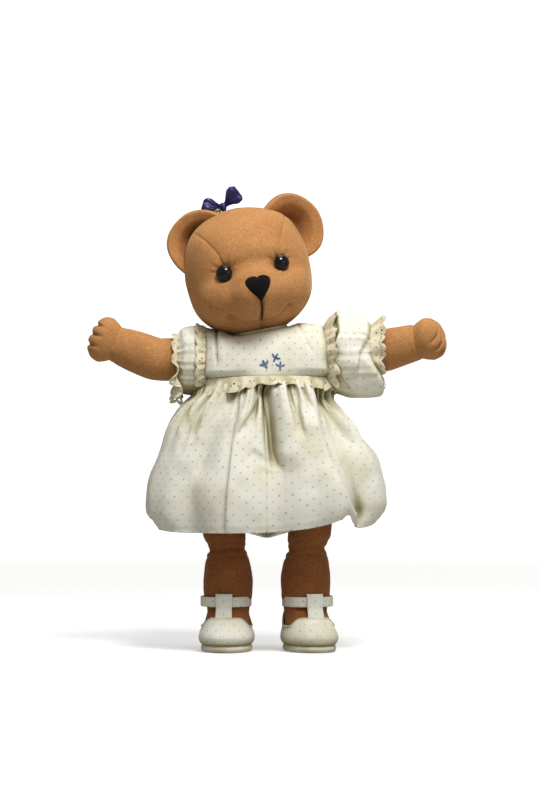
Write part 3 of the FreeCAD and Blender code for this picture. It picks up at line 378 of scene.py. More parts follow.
def printMaterial(name, ground="#f5f2e2", fold="#dfd8b6", dot="#b3b9ad", pitch=10.4, radius=0.8, weave=0.42):
    # plain-woven dress cotton, a little creased, darker and yellower in broad random patches, printed with
    # small dots on a diamond lattice, and painted pale olive in broad hollows and dark olive deep in folds,
    # as shade;
    # the UV map is in millimetres, so the dots and the weave keep their real size on every piece
    made = startMaterial(name)
    uv = addNode(made, "ShaderNodeUVMap", {"uv_map": "cloth"}).outputs[0]
    place = objectPlace(made)
    across = addNode(made, "ShaderNodeSeparateXYZ", Vector=uv)
    nearest = []
    for shift in (0.0, 0.5):
        parts = []
        for k in (0, 1):
            cell = sums(made, "FRACT", sums(made, "MULTIPLY_ADD", across.outputs[k], 1 / pitch, shift))
            parts.append(sums(made, "MULTIPLY", sums(made, "SUBTRACT", cell, 0.5), pitch))
        nearest.append(sums(made, "SQRT", sums(made, "ADD", sums(made, "POWER", parts[0], 2.0),
                                               sums(made, "POWER", parts[1], 2.0))))
    reach = sums(made, "MINIMUM", nearest[0], nearest[1])
    wobble = noise(made, uv, 0.9, Detail=2.0)
    edge = sums(made, "ADD", reach, sums(made, "MULTIPLY", sums(made, "SUBTRACT", wobble, 0.5), 0.9))
    inked = sums(made, "SUBTRACT", 1.0, ramp(made, edge, radius - 0.4, radius + 0.45))
    patches = noise(made, place, 26.0, Detail=4.0)
    slub = noise(made, uv, 0.35, Detail=4.0, Roughness=0.7)
    warp = sums(made, "SINE", sums(made, "MULTIPLY", across.outputs[0], 2 * math.pi / weave))
    weft = sums(made, "SINE", sums(made, "MULTIPLY", across.outputs[1], 2 * math.pi / weave))
    # the ground drifts in broad random patches towards a darker, yellower tone
    colour = mixed(made, ramp(made, patches, 0.42, 0.78), linear(ground), linear(fold))
    colour = tinted(made, slub, 0.18, colour, "#fbf9f0")
    faded = noise(made, uv, 0.11, Detail=1.0)
    faded = stretched(made, faded, 0.35, 0.95, From_Min=0.35, From_Max=0.65)
    colour = tinted(made, inked, faded, colour, dot)
    # painted shade: drawn towards pale olive in broad hollows and dark olive deep in folds and seams
    colour = tinted(made, hollowShade(made, 0.035), 0.75, colour, "#c3b985")
    colour = tinted(made, hollowShade(made, 0.016), 0.95, colour, "#867a48")
    height = sums(made, "ADD", sums(made, "MULTIPLY", sums(made, "ADD", warp, weft), 0.2), slub)
    return finishMaterial(made, colour, height, 0.25, 0.5, Roughness=0.85, Specular_IOR_Level=0.2,
                          Sheen_Weight=0.08, Sheen_Roughness=0.5)


def plainCloth(name, ground, deep, thread=0.5, sheen=0.05, roughness=0.85):
    # plain cloth or lace thread: fine uneven yarn, about half a millimetre a thread
    made, place = placedMaterial(name)
    yarn = noise(made, place, 1000 / thread / 1.6, Detail=2.0)
    broad = noise(made, place, 60.0, Detail=3.0)
    colour = mixed(made, ramp(made, broad, 0.35, 0.75), linear(ground), linear(deep))
    return finishMaterial(made, colour, yarn, 0.25, 0.6, Roughness=roughness, Specular_IOR_Level=0.2,
                          Sheen_Weight=sheen)


bearVelour = velourMaterial("tanVelour", "#cc925a", "#e0b27c", "#8c5830", "#bf8650")
# the legs' velour is darker and redder than the body's: partly the legs' own tone, partly painted shade from
# the skirt over them
legVelour = velourMaterial("tanVelourLegs", "#a5683c", "#bd8355", "#6a3b1e", "#955a32")
dressCotton = printMaterial("printedCotton")
laceCotton = plainCloth("eyeletLace", "#eee6ca", "#d2c59b")
soleCotton = plainCloth("soleCotton", "#e9e1cb", "#cbbf9d")
bindingCotton = plainCloth("bindingCotton", "#d9d2b6", "#b9af88")
print("materials made")


# Head, with its leaning neck

neck = {"place": (-6, 0, 292), "tilt": -11, "turn": 6.5, "rise": 62}


def fromHead(points):
    # head measures, x to the bear's left, y back and z up from the middle of the head, taken to the bear
    points = turned(points, neck["turn"], "z") + np.array([0, 0, neck["rise"]])
    return turned(points, neck["tilt"], "y") + np.array(neck["place"])


# balls are (middle, radii) of the ellipsoids; lines are (across, height) seen from the front; the eye, the
# seam, the dimple and the cheek are given for the left side and mirrored
headShape = {
    "balls": [((0, 0, 0), (58.8, 53.5, 60.5)), ((0, -1, -21), (55, 49, 37)),
              ((0, -36, -20.5), (28, 33.5, 23.5)), ((-23, -25, -20.5), (28, 27, 24)),
              ((23, -25, -20.5), (28, 27, 24))],
    "melt": 2.5, "core": (0, -4, -6),
    "eye": (27.4, -47.7, 0.6), "seam": [(26.8, 8), (29.5, 20), (36, 33), (44, 46)],
    "dimple": (27.5, -43), "cheek": (27, -21),
    "smile": [(-30, -40), (-24, -45), (-16, -48.4), (-8, -50), (0, -50.4), (8, -50), (16, -48.4), (24, -45),
              (30, -40)],
    "mouth": [(0, -28), (0, -48)], "chin": [(0, -48), (0, -62)], "shelf": (-1.0, -0.16),
}


def softUnion(points, balls, melt):
    # distance-like field of ellipsoids that melt into each other: minus the log of the summed exponentials
    total = 0
    for middle, radii in balls:
        q = (points - np.array(middle)) / np.array(radii)
        near = np.linalg.norm(q, axis=-1)
        far = np.linalg.norm(q / np.array(radii), axis=-1)
        total = total + np.exp(-near * (near - 1) / np.maximum(far, 1e-6) / melt)
    return -melt * np.log(np.maximum(total, 1e-30))


def shootOut(origin, rays, field, near, far):
    # the point along each ray where the field turns from inside to outside, by halving the span
    low, high = np.full(rays.shape[:-1], float(near)), np.full(rays.shape[:-1], float(far))
    for _ in range(26):
        middle = (low + high) / 2
        outside = field(origin + rays * middle[..., None]) > 0
        high, low = np.where(outside, middle, high), np.where(outside, low, middle)
    return origin + rays * low[..., None]


def headField(points):
    return softUnion(points, headShape["balls"], headShape["melt"])


def raysAt(tip, turn):
    # directions by their angle from straight up and their turn from straight ahead
    return spots(np.sin(tip) * np.sin(turn), -np.sin(tip) * np.cos(turn), np.cos(tip) * np.ones_like(turn))


def makeHead():
    # rays leave the middle of the head over two angles, closer together at the front, and stop at the soft
    # union of skull, cheeks and muzzle; seams, dimples and the smile are then pressed in along the normals
    rows, cols = 250, 400
    turn = np.linspace(0, 2 * math.pi, cols, endpoint=False)
    turn = turn - 0.42 * np.sin(turn)
    tip = np.linspace(0.012, math.pi - 0.012, rows)[:, None]
    tip = tip + 0.1 * np.sin(2 * (tip - 0.25))
    points = shootOut(np.array(headShape["core"], float), raysAt(tip, turn), headField, 15, 100)
    out = outwardFrom(headShape["core"], points, True)
    x, y, z = points[..., 0], points[..., 1], points[..., 2]
    front = smooth(2, -18, y)
    lift = 0.5 * lumps(points, 21, 3) + 0.22 * lumps(points, 8, 4)
    for sign in (-1, 1):
        eyeX, eyeY, eyeZ = headShape["eye"]
        far = np.linalg.norm(points - np.array([eyeX * sign, eyeY, eyeZ]), axis=-1)
        lift -= 4.2 * bump(far, 0, 10)
        spread = np.arctan2(x * sign - eyeX, z - eyeZ)
        lift -= 0.35 * np.sin(11 * spread) * bump(far, 12, 4) * smooth(-2, 4, z - eyeZ) * front
        seam = lineDistance(x * sign, z, headShape["seam"])[0]
        lift -= front * smooth(56, 36, z) * (0.9 * bump(seam, 0, 0.9) + 0.6 * bump(seam, 0, 4))
        dimple = np.hypot(x - headShape["dimple"][0] * sign, z - headShape["dimple"][1])
        lift -= front * 3.2 * bump(dimple, 0, 5)
        cheek = np.hypot(x - headShape["cheek"][0] * sign, z - headShape["cheek"][1])
        lift += front * 2.2 * bump(cheek, 0, 12)
    smile, mouth, chin = (lineDistance(x, z, headShape[key])[0] for key in ("smile", "mouth", "chin"))
    lift -= front * (1.9 * bump(smile, 0, 1.9) + 1.5 * bump(smile, 0, 5.5))
    # the muzzle hangs a little over the chin along the smile
    corner = z + 50.4 - 10.4 * (x / 30) ** 2
    lift += front * bump(x, 0, 30) * (1.5 * bump(corner, 5.5, 4.5) - 1.6 * bump(corner, -3.5, 3.5))
    # the brow is drawn in between the eyes, so that the muzzle and the cheeks stand out below it as a shelf
    shelf = headShape["shelf"][0] + headShape["shelf"][1] * np.abs(x)
    lift -= front * 3.8 * bump(z - shelf, 8.5, 7.5) * bump(x, 0, 34)
    lift += front * 2.8 * bump(z - shelf, -3.0, 4.6) * bump(x, 0, 30)
    lift -= front * (1.2 * bump(mouth, 0, 1.8) + 1.1 * bump(mouth, 0, 5))
    lift -= front * (0.7 * bump(chin, 0, 1.0) + 0.5 * bump(chin, 0, 4))
    lift += 3.4 * bump(np.abs(x), 40, 17) * bump(z, 40, 19) * bump(y, 0, 45)
    back = smooth(-4, 6, y)
    lift -= back * 0.6 * bump(np.abs(x), 22 - 0.12 * np.abs(z), 1.1)
    points = points + out * lift[..., None]
    thing = closedPiece("head_plush", fromHead(points))
    finishPiece(thing, "head", "plush", bearVelour, "head_skin", "head_stuffing")


makeHead()


# the profile of an ear: out and deep at places along it, from the cupped front to the back
earShape = {
    "left": {"middle": (46.5, 6, 33), "round": 32.5}, "right": {"middle": (-36.5, 6, 33.5), "round": 32.5},
    "out": [0.02, 0.3, 0.5, 0.7, 0.9, 1.0, 0.97, 0.82, 0.5, 0.02],
    "deep": [10.0, 8.5, 1.0, -6.5, -8.2, -3.0, 3.5, 9.5, 13.0, 14.0],
    "along": [0, 0.15, 0.28, 0.38, 0.46, 0.54, 0.62, 0.72, 0.86, 1],
}


def makeEar(side, sign):
    # a padded disc: the profile runs from the cupped front over the rolled rim to the back, and is
    # carried round the disc. It is sewn on along a curve, so its ends come forward and its lower part
    # runs into the head
    rows, cols = 80, 150
    along = rowShares(rows)
    middle = np.array(earShape[side]["middle"], float)
    out, deep = profile(earShape, "along", ("out", "deep"), along)
    turn = ringAngles(cols)
    wide = earShape[side]["round"] * (1 + 0.015 * np.sin(3 * turn + sign) + 0.01 * np.sin(5 * turn + 2))
    points = spots(wide * out * np.sin(turn), deep, wide * out * np.cos(turn))
    outward = np.array([middle[0], middle[2]]) / math.hypot(middle[0], middle[2])
    across = points[..., 0] * outward[1] - points[..., 2] * outward[0]
    points[..., 1] -= 0.0062 * across ** 2
    points[..., 1] += 0.5 * lumps(points, 11, 21 + sign)
    rim = bump(along, 0.54, 0.025)
    points[..., 0] -= 0.9 * rim * np.sin(turn)
    points[..., 2] -= 0.9 * rim * np.cos(turn)
    points = turned(points, sign * 10, "z") + middle
    thing = closedPiece(f"{side}_ear_plush", fromHead(points))
    finishPiece(thing, "head", "plush", bearVelour, f"{side}_ear")


for side, sign in bothSides:
    makeEar(side, sign)
print("head and ears made")


# Arms

# far is the place along the arm; deep and tall are the half sizes of its oval there
armShape = {
    "left": {"height": 278, "roll": 50}, "right": {"height": 271, "roll": 0},
    "start": 40, "elbow": 103, "bend": 21, "fingers": (-8.6, 1.4, 10.6), "wrist": 143.5,
    "far": [46.6, 49, 60, 80, 96, 103, 112, 124, 136, 143, 148, 154, 160, 165, 168.4, 169.0],
    "deep": [13, 18.5, 19.6, 19.7, 19.9, 20.0, 19.6, 18.4, 17.2, 16.4, 17.3, 18.3, 17.2, 13.6, 7.0, 1.0],
    "tall": [13, 18.5, 19.6, 19.7, 20.0, 20.2, 20.0, 19.2, 17.8, 17.0, 19.5, 21.8, 20.4, 16.0, 8.4, 1.2],
}


def armLine(far):
    # the arm's middle line in its own upright plane: straight to the elbow, then turned up by the bend,
    # with the turn spread over 22 mm
    bend = math.radians(armShape["bend"])
    step = np.linspace(armShape["start"], 172, 1000)
    angle = bend * smooth(armShape["elbow"] - 11, armShape["elbow"] + 11, step)
    x = armShape["start"] + np.concatenate([[0], np.cumsum(np.cos(angle[:-1]) * np.diff(step))])
    z = np.concatenate([[0], np.cumsum(np.sin(angle[:-1]) * np.diff(step))])
    return np.interp(far, step, x), np.interp(far, step, z), np.interp(far, step, angle)


def makeArm(side, sign):
    # an oval carried along the arm's middle line; the fist has three notches between its fingers and two
    # creases at the wrist
    rows, cols = 250, 190
    far = np.linspace(armShape["far"][0], armShape["far"][-1], rows)
    far = far - 2.5 * np.sin(2 * math.pi * (far - far[0]) / (far[-1] - far[0]))
    deep, tall = profile(armShape, "far", ("deep", "tall"), far[:, None])
    turn = ringAngles(cols)
    across = np.sin(turn) * deep
    up = np.cos(turn) * tall
    s = far[:, None] * np.ones_like(turn)
    hand = smooth(145, 160, s)
    for height in armShape["fingers"]:
        notch = bump(up, height, 1.7) * hand
        across = across * (1 - 0.16 * notch * smooth(152, 167, s))
        s = s - 3.2 * notch * smooth(158, 168, s)
    wrist = armShape["wrist"]
    crease = bump(s, wrist, 1.5) + 0.5 * bump(s, wrist - 4 + 2 * np.sin(turn * 2), 1.2)
    pucker = 1 - 0.035 * crease * (1 + 0.35 * np.sin(9 * turn))
    elbow = 1 - 0.03 * bump(s, 101 + 2 * np.sin(turn), 2.2) * smooth(-0.2, 0.7, np.cos(turn))
    across, up = across * pucker * elbow, up * pucker * elbow
    x, z, angle = armLine(s)
    points = spots(x - np.sin(angle) * up, across, z + np.cos(angle) * up)
    out = normalsOf(points, True)
    if out[rows // 2, 0, 2] < 0:
        out = -out
    lift = 0.4 * lumps(points, 17, 30 + sign) + 0.16 * lumps(points, 6, 33 + sign)
    points = points + out * lift[..., None]
    if sign < 0:
        points = turned(points, 180, "z")
    points = turned(points, armShape[side]["roll"], "x") + np.array([0, 0, armShape[side]["height"]])
    thing = closedPiece(f"{side}_arm_plush", points)
    finishPiece(thing, f"{side}_arm", "plush", bearVelour, f"{side}_arm_skin", f"{side}_arm_stuffing")


for side, sign in bothSides:
    makeArm(side, sign)
print("arms made")


# Torso, mostly hidden by the dress

torsoShape = {
    "balls": [((0, 0, 232), (47, 35, 57)), ((0, 0, 212), (51, 41, 38)), ((0, 0, 158), (21, 27, 34)),
              ((27, 0, 278), (18, 18, 17.5)), ((-27, 0, 271), (18, 18, 17.5)), ((-5, 0, 272), (21, 21, 20))],
    "melt": 2.5, "core": (0, 0, 225),
}


def torsoField(points):
    return softUnion(points, torsoShape["balls"], torsoShape["melt"])


def makeTorso():
    # rays leave the middle of the chest and stop at the soft union of chest, belly, shoulders and rump
    rows, cols = 120, 160
    turn = ringAngles(cols)
    tip = np.linspace(0.02, math.pi - 0.02, rows)[:, None]
    points = shootOut(np.array(torsoShape["core"], float), raysAt(tip, turn), torsoField, 10, 120)
    thing = closedPiece("torso_plush", points)
    finishPiece(thing, "torso", "plush", bearVelour, "torso_skin", "torso_stuffing")


makeTorso()


# Legs and shoes

# out and front place the middle of the leg's oval at each height; wide and deep are its half sizes
legShape = {
    "high": [5.4, 9, 13, 18, 24, 30, 36, 41, 52, 64, 80, 90, 95, 100, 108, 124, 140, 150, 160, 168, 172.5],
    "out": [36.5, 36.5, 36.5, 36.5, 36.5, 36.4, 36, 36, 36, 36, 36.6, 36.9, 37, 38, 40, 41.4, 42, 41, 41, 41,
            41],
    "front": [-11, -11, -11, -10.5, -8, -4.5, -1.6, 0, 0, 0, 0, 0, 0, 0, 0, 0, 0, 0, 0, 0, 0],
    "wide": [18.5, 22.2, 23.0, 22.5, 21.2, 20.2, 19.6, 20.2, 22.7, 23.2, 21.4, 19.2, 17.6, 18.8, 20.2, 20,
             18.6, 18, 18, 16, 8],
    "deep": [30, 33.2, 33.6, 31.6, 28, 24.4, 21.2, 19.8, 21.4, 21.5, 19.6, 17.8, 16.8, 18, 20.4, 22.6,
             22, 21, 18, 13, 6],
    "toeOut": {"left": 16, "right": 4}, "ankle": 36.5,
    "creases": ((95, 1.6, 2.0), (88.5, 0.9, 1.7), (101.5, 0.8, 1.6)),
}


def legPoints(side, sign, high, turn, grow=0.0):
    # an oval at each height; below the ankle it is longer, sits forward and turns out with the foot
    # grow makes the oval larger all round
    out, front, wide, deep = profile(legShape, "high", ("out", "front", "wide", "deep"), high)
    x = (wide + grow) * np.sin(turn)
    y = front - (deep + grow) * np.cos(turn)
    angle = np.radians(sign * legShape["toeOut"][side]) * smooth(46, 30, high)
    base = legShape["ankle"] * sign
    shift = sign * out - base
    return spots(base + shift + x * np.cos(angle) - y * np.sin(angle),
                 x * np.sin(angle) + y * np.cos(angle), high)


def makeLeg(side, sign):
    rows, cols = 300, 180
    high = np.linspace(legShape["high"][0], legShape["high"][-1], rows)[:, None]
    turn = ringAngles(cols)
    points = legPoints(side, sign, high, turn)
    out = normalsOf(points, True)
    if out[rows // 2, 0, 1] > 0:
        out = -out
    sway = 1.6 * np.sin(turn + 0.7 * sign) + 1.1 * np.sin(2 * turn + 1.4)
    lift = 0.45 * lumps(points, 19, 40 + sign) + 0.2 * lumps(points, 7, 43 + sign)
    for height, depth, width in legShape["creases"]:
        lift = lift - depth * bump(high, height + sway, width) * (0.7 + 0.3 * np.sin(turn * 3 + height))
    seam = bump(np.abs(np.cos(turn)), 0, 0.06) * smooth(36, 44, high)
    lift = lift - 0.4 * seam
    points = points + out * lift[..., None]
    thing = closedPiece(f"{side}_leg_plush", points)
    finishPiece(thing, f"{side}_leg", "plush", legVelour, f"{side}_leg_skin", f"{side}_leg_stuffing")


for side, sign in bothSides:
    makeLeg(side, sign)

shoeShape = {
    "soleTop": 5.2, "toeEdge": 31, "sideEdge": 23.5, "heelEdge": 44, "wall": 1.1, "piping": 0.8,
    "soleAlong": [0, 0.2, 0.38, 0.5, 0.62, 0.8, 1], "soleInward": [1, 0.35, 0.05, 0, 0.05, 0.35, 1],
    "soleHeight": [0, 0, 0.7, 3.5, 6.4, 7.2, 7.4],
}


def shoeEdge(turn):
    # height of the opening: high over the toes, low at the sides and up at the heel
    front = smooth(0.35, 0.86, np.cos(turn))
    back = smooth(0.2, 0.95, -np.cos(turn))
    side = shoeShape["sideEdge"]
    return side + front * (shoeShape["toeEdge"] - side) + back * (shoeShape["heelEdge"] - side)


def makeShoe(side, sign):
    # the upper follows the foot a little outside it, from the sole to an edge whose height goes round it
    rows, cols = 70, 220
    turn = ringAngles(cols)
    share = rowShares(rows)
    high = shoeShape["soleTop"] + share * (shoeEdge(turn) - shoeShape["soleTop"])
    puff = 1.3 + 1.2 * np.sin(math.pi * np.clip(share * 1.1, 0, 1)) + 0.5 * smooth(0.93, 0.99, share)
    points = legPoints(side, sign, high, turn, puff)
    points[..., 2] += 0.3 * lumps(points, 12, 50)
    reach = np.linspace(0, 2 * math.pi, cols + 1)[None, :] * 27
    uv = spots(reach, share * 26)
    upper = gridPiece(f"{side}_shoe_cloth", points, around=True, uv=uv)
    thicken(upper, shoeShape["wall"])
    finishPiece(upper, f"{side}_leg", "print_cotton", dressCotton, f"{side}_shoe_upper")

    edge = legPoints(side, sign, shoeEdge(turn[0]) + 0.2, turn[0], 2.3)
    edge = np.concatenate([edge, edge[:1]])
    piping = gridPiece(f"{side}_shoe_piping", tubeAlong(edge, shoeShape["piping"], 8), around=True)
    finishPiece(piping, f"{side}_leg", "sole_cloth", soleCotton)

    # the padded sole: a rounded profile carried round the foot's outline
    t = rowShares(26)
    inward, height = profile(shoeShape, "soleAlong", ("soleInward", "soleHeight"), t)
    ring = legPoints(side, sign, 12.0 + 0 * turn, turn, 0.9) * np.array([1, 1, 0])
    middle = ring.mean(1, keepdims=True)
    ring = ring + (middle - ring) * np.minimum(inward, 0.985)[..., None]
    ring[..., 2] = height
    sole = closedPiece(f"{side}_shoe_pad", ring)
    finishPiece(sole, f"{side}_leg", "sole_cloth", soleCotton, f"{side}_shoe_sole")


strapShape = {"middle": 38, "low": 41.2, "high": 50.6, "out": 22.3, "thick": 1.5, "slit": 0.02}
tabShape = {
    "along": [0, 0.3, 0.52, 0.75, 0.9, 1], "y": [-30.2, -28.6, -25.6, -25.2, -25.0, -24.2],
    "z": [27.5, 33.5, 40.5, 47, 52, 53.6], "half": 7.9, "halfAlong": [0, 0.3, 0.5, 1],
    "halfShare": [1.12, 0.98, 0.94, 1.0], "thick": 0.9, "bend": 24.5,
}


def atAnkle(side, sign, x, y, z):
    # points round the ankle, turned out with the foot
    foot = np.radians(sign * legShape["toeOut"][side])
    c, s = math.cos(foot), math.sin(foot)
    return spots(sign * strapShape["middle"] + x * c - y * s, x * s + y * c, z)


def makeStrap(side, sign):
    # a flat padded strap bent round the ankle, rounded over its edges; its ends meet behind
    turn = np.linspace(math.pi + strapShape["slit"], 3 * math.pi - strapShape["slit"], 200)[None, :]
    t = ringAngles(24).T
    half = (strapShape["high"] - strapShape["low"]) / 2
    up = (strapShape["high"] + strapShape["low"]) / 2 + half * squarish(np.sin(t), 0.45)
    depth = strapShape["out"] + strapShape["thick"] / 2 * (1 + squarish(np.cos(t), 0.45))
    points = atAnkle(side, sign, depth * np.sin(turn), -depth * np.cos(turn), up).transpose(1, 0, 2)
    uv = spots(turn.T * strapShape["out"], np.concatenate([up, up[:1]]).T)
    band = closedPiece(f"{side}_ankle_strap", points, uv)
    finishPiece(band, f"{side}_leg", "print_cotton", dressCotton, f"{side}_shoe_strap")


def makeTab(side, sign):
    # the tab rises from the toe cap, goes over the strap and is sewn down behind it
    rows, cols = 60, 40
    t = rowShares(rows)
    lineY, lineZ = profile(tabShape, "along", ("y", "z"), t)
    c = ringAngles(cols)
    half = tabShape["half"] * through(tabShape["halfAlong"], tabShape["halfShare"], t)
    across = half * squarish(np.cos(c), 0.4)
    thick = tabShape["thick"] * squarish(np.sin(c), 0.6)
    bow = (across / tabShape["bend"]) ** 2 / 2 * tabShape["bend"]
    points = atAnkle(side, sign, across, lineY - thick + bow, lineZ)
    uv = spots(np.concatenate([across, across[:, :1]], axis=1), t * 28)
    tab = closedPiece(f"{side}_strap_tab", points, uv)
    finishPiece(tab, f"{side}_leg", "print_cotton", dressCotton, f"{side}_shoe_tab")


for side, sign in bothSides:
    makeShoe(side, sign)
    makeStrap(side, sign)
    makeTab(side, sign)
print("legs and shoes made")


# Dress: yoke, sleeves, lace, skirt and bloomers

# collar is the radius of the neckline, and collarRise how far it lies above the neck's place
dress = {"waist": 248, "wide": 60.5, "deep": 44, "collar": 25.4, "collarRise": 4.6, "wall": 0.7}


def waistPoint(turn, out=0.0):
    # the waist seam, an oval pulled up a little at the front
    front = smooth(-0.2, 0.6, np.cos(turn))
    high = dress["waist"] + front * (4.5 + 1.2 * np.sin(turn) + 1.5 * np.cos(2 * turn))
    return spots((dress["wide"] + out) * np.sin(turn), -(dress["deep"] + out) * np.cos(turn), high)


def collarPoint(turn, out=0.0, rise=0.0):
    # a ring round the leaning neck
    ring = spots((dress["collar"] + out) * np.sin(turn), -(dress["collar"] + out) * np.cos(turn),
                 rise + dress["collarRise"])
    return turned(ring, neck["tilt"], "y") + np.array(neck["place"])


# limit is the last column's turn, curve how square the arches are, and top the shoulders' height across x
yokeShape = {
    "limit": 1.46, "curve": 0.77, "edge": 59.5, "rightEdge": 57.3, "middle": (0, 0, 262), "ridge": 301,
    "x": [-58, -50, -42, -30, -15, 0, 12, 24, 34, 45, 58],
    "top": [301.5, 300, 298.3, 296.5, 295.8, 297.2, 300, 303, 304.5, 304, 303],
}


def yokePoint(phi, over):
    # columns run from the waist in front over the shoulder to the waist behind; over goes from 0 to 2. Each
    # column is a squarish arch, and towards the armholes the arches stay deep enough to clear the arms
    angle = over * math.pi / 2
    share = np.abs(np.sin(angle)) ** yokeShape["curve"]
    seam = np.where(over < 1, waistPoint(phi)[..., 2], waistPoint(math.pi - phi)[..., 2])
    edge = np.where(phi > 0, yokeShape["edge"] - 7.5 * smooth(0.55, 1.0, share), yokeShape["rightEdge"])
    widened = (edge / math.sin(yokeShape["limit"]) - dress["wide"]) * smooth(0, 0.3, share)
    x = np.sin(phi) * (dress["wide"] + widened)
    deep = dress["deep"] * np.cos(phi) ** (1 - 0.7 * smooth(0, 0.2, share))
    y = -deep * squarish(np.cos(angle), yokeShape["curve"])
    top = through(yokeShape["x"], yokeShape["top"], np.clip(x, -58, 58))
    return spots(x, y, seam + (top - seam) * share)


def makeYoke():
    # the front and the back of the bodice meet over the shoulders; cells inside the neck are left out,
    # and the points next to them are drawn to the neckline
    rows, cols = 260, 150
    over = np.linspace(0, 2, rows)[:, None]
    phi = np.linspace(-yokeShape["limit"], yokeShape["limit"], cols)[None, :]
    points = yokePoint(phi, over)
    out = outwardFrom(yokeShape["middle"], points, False)
    x, y, z = points[..., 0], points[..., 1], points[..., 2]
    seam = smooth(0.0, 0.12, over) * smooth(2.0, 1.88, over)
    lift = 0.9 * lumps(points, 24, 61) + 0.35 * lumps(points, 8, 62)
    lift = lift - 2.4 * bump(x, -46.5, 1.2) * smooth(262, 272, z) * (y < 0)
    lift = lift + 1.2 * bump(x, -41.5, 4) * smooth(262, 276, z) * (y < 0)
    lift = lift - 1.0 * bump(x + (z - 285) * 0.5, 38, 1.6) * smooth(274, 284, z) * (y < 0)
    points = points + out * (lift * seam)[..., None]
    local = turned(points - np.array(neck["place"]), -neck["tilt"], "y")
    reach = np.hypot(local[..., 0], local[..., 1])
    near = 1 - smooth(dress["collar"], dress["collar"] + 13, reach)
    local[..., 2] = local[..., 2] * (1 - near) + dress["collarRise"] * near
    inside = reach < dress["collar"]
    grow = np.where(inside, dress["collar"] / np.maximum(reach, 1), 1)
    local[..., 0] *= grow
    local[..., 1] *= grow
    points = turned(local, neck["tilt"], "y") + np.array(neck["place"])
    inside &= z > 270
    keep = ~(inside[:-1, :-1] & inside[1:, :-1] & inside[:-1, 1:] & inside[1:, 1:])
    uv = spots(x, np.where(over < 1, z, 2 * yokeShape["ridge"] - z))
    thing = gridPiece("dress_yoke_cloth", points, uv=uv, keep=keep)
    thicken(thing, dress["wall"], -1)
    finishPiece(thing, "torso", "print_cotton", dressCotton, "dress_yoke")
    ring = collarPoint(ringAngles(200)[0], 0.2, 0.7)
    binding = gridPiece("neck_piping", tubeAlong(np.concatenate([ring, ring[:1]]), 1.2, 12), around=True)
    finishPiece(binding, "torso", "lace", bindingCotton, "neck_binding")


makeYoke()


def fold(proud, step, over, under, *line, tuck=0, soft=1.1, fades=1):
    # a fold along a line of (across, height) seen from the front. proud is 1 where its right side, going
    # down, stands out and -1 where its left one does; step is its height; over and under are the widths
    # of the proud and the drawn-in side; tuck is how far the drawn-in side is pulled under; soft is the
    # width of its edge; fades is 0 where the fold runs on past the line's lower end
    return {"proud": proud, "step": step, "over": over, "under": under, "line": line, "tuck": tuck,
            "soft": soft, "fades": fades}


# round is the radius at far along the arm; sag and slide lower and lengthen the underside
sleeveShape = {
    "left": {
        "high": 278, "start": 53, "length": 45, "sag": 5.0, "slide": 21.0, "seed": 0.9,
        "flat": (0.24, 0.052),
        "far": [0, 4, 10, 20, 31, 39, 43, 45], "round": [24, 29.5, 35.5, 37.5, 36.5, 31.5, 26, 22.6],
        "folds": [
            fold(-1, 6.5, 9, 8, (98, 304), (94, 292), (86, 276), (84, 258)),
            fold(1, 5, 9, 6, (63, 318), (66, 300), (62, 282)),
            fold(1, 4, 9, 7, (66, 262), (72, 250), (82, 240)),
        ],
    },
    "right": {
        "high": 271, "start": 55, "length": 28.5, "sag": 0.0, "slide": 3.0, "seed": 2.3,
        "flat": (0.21, 0.038),
        "far": [0, 3, 6, 12, 18, 23.5, 27, 28.5], "round": [24, 27.5, 30.5, 31.5, 31.2, 29, 25, 22.6],
        "folds": [
            fold(-1, 2.4, 8, 5, (-62, 306), (-66, 286), (-64, 262)),
            fold(1, 2.2, 7, 6, (-80, 300), (-77, 280), (-79, 258)),
        ],
    },
}


def foldOver(a, b, crease):
    # how far a fold raises the cloth at each point, and how far it pulls it sideways, so that the proud side
    # hangs a little over the side that is drawn in
    far, side, along = lineDistance(a, b, crease["line"])
    d = far * side * crease["proud"]
    ends = smooth(-0.12, 0.1, along) * (1 - smooth(0.8, 1.12, along) * crease["fades"])
    edge = 0.5 + 0.5 * np.tanh(d / crease["soft"])
    raised = 0.42 * bump(np.maximum(d, 0), 0, crease["over"])
    hollow = bump(np.minimum(d, 0), 0, crease["under"])
    lift = crease["step"] * ends * (edge * raised + (1 - edge) * (-0.58 * hollow))
    pull = ends * crease["tuck"] * (0.25 * edge * bump(d, 0, 4) + (1 - edge) * hollow)
    return lift, -pull * crease["proud"]


def sleeveSurface(side, sign, turn, far):
    # a barrel along the arm's axis: gathered finely at both ends, and hanging in soft folds between
    shape = sleeveShape[side]
    share = far / shape["length"]
    middle = np.sin(math.pi * np.clip(share, 0, 1))
    plain = through(shape["far"], shape["round"], far)
    seed = shape["seed"]
    fine = 0.9 * np.sin(22 * turn + seed) + 0.5 * np.sin(35 * turn + 2 * seed)
    broad = np.sin(5 * turn + seed + 2.4 * share) + 0.6 * np.sin(9 * turn - seed - 2.0 * share)
    radius = plain + fine * (0.9 - 0.6 * middle) * smooth(-0.02, 0.08, share) + broad * 0.9 * middle
    low = smooth(0.1, -0.9, np.sin(turn))
    radius = radius + shape["sag"] * low * middle
    x = shape["start"] + far + shape["slide"] * low * np.sin(math.pi * np.clip(share, 0, 1) ** 2.2)
    high = shape["high"]
    if sign < 0:
        high = high + 3.0 * (1 - smooth(0, 0.3, share)) * smooth(-0.2, 0.8, np.sin(turn))
    point = spots(sign * x, -radius * np.cos(turn), high + radius * np.sin(turn))
    out = spots(0 * turn, -np.cos(turn), np.sin(turn) + 0 * far)
    front = smooth(-0.1, 0.3, np.cos(turn)) * smooth(0, 0.12, share) * smooth(1, 0.88, share)
    for crease in shape["folds"]:
        lift, pull = foldOver(point[..., 0], point[..., 2], crease)
        point = point + out * (lift * front)[..., None]
        point[..., 0] += pull * front
    return point


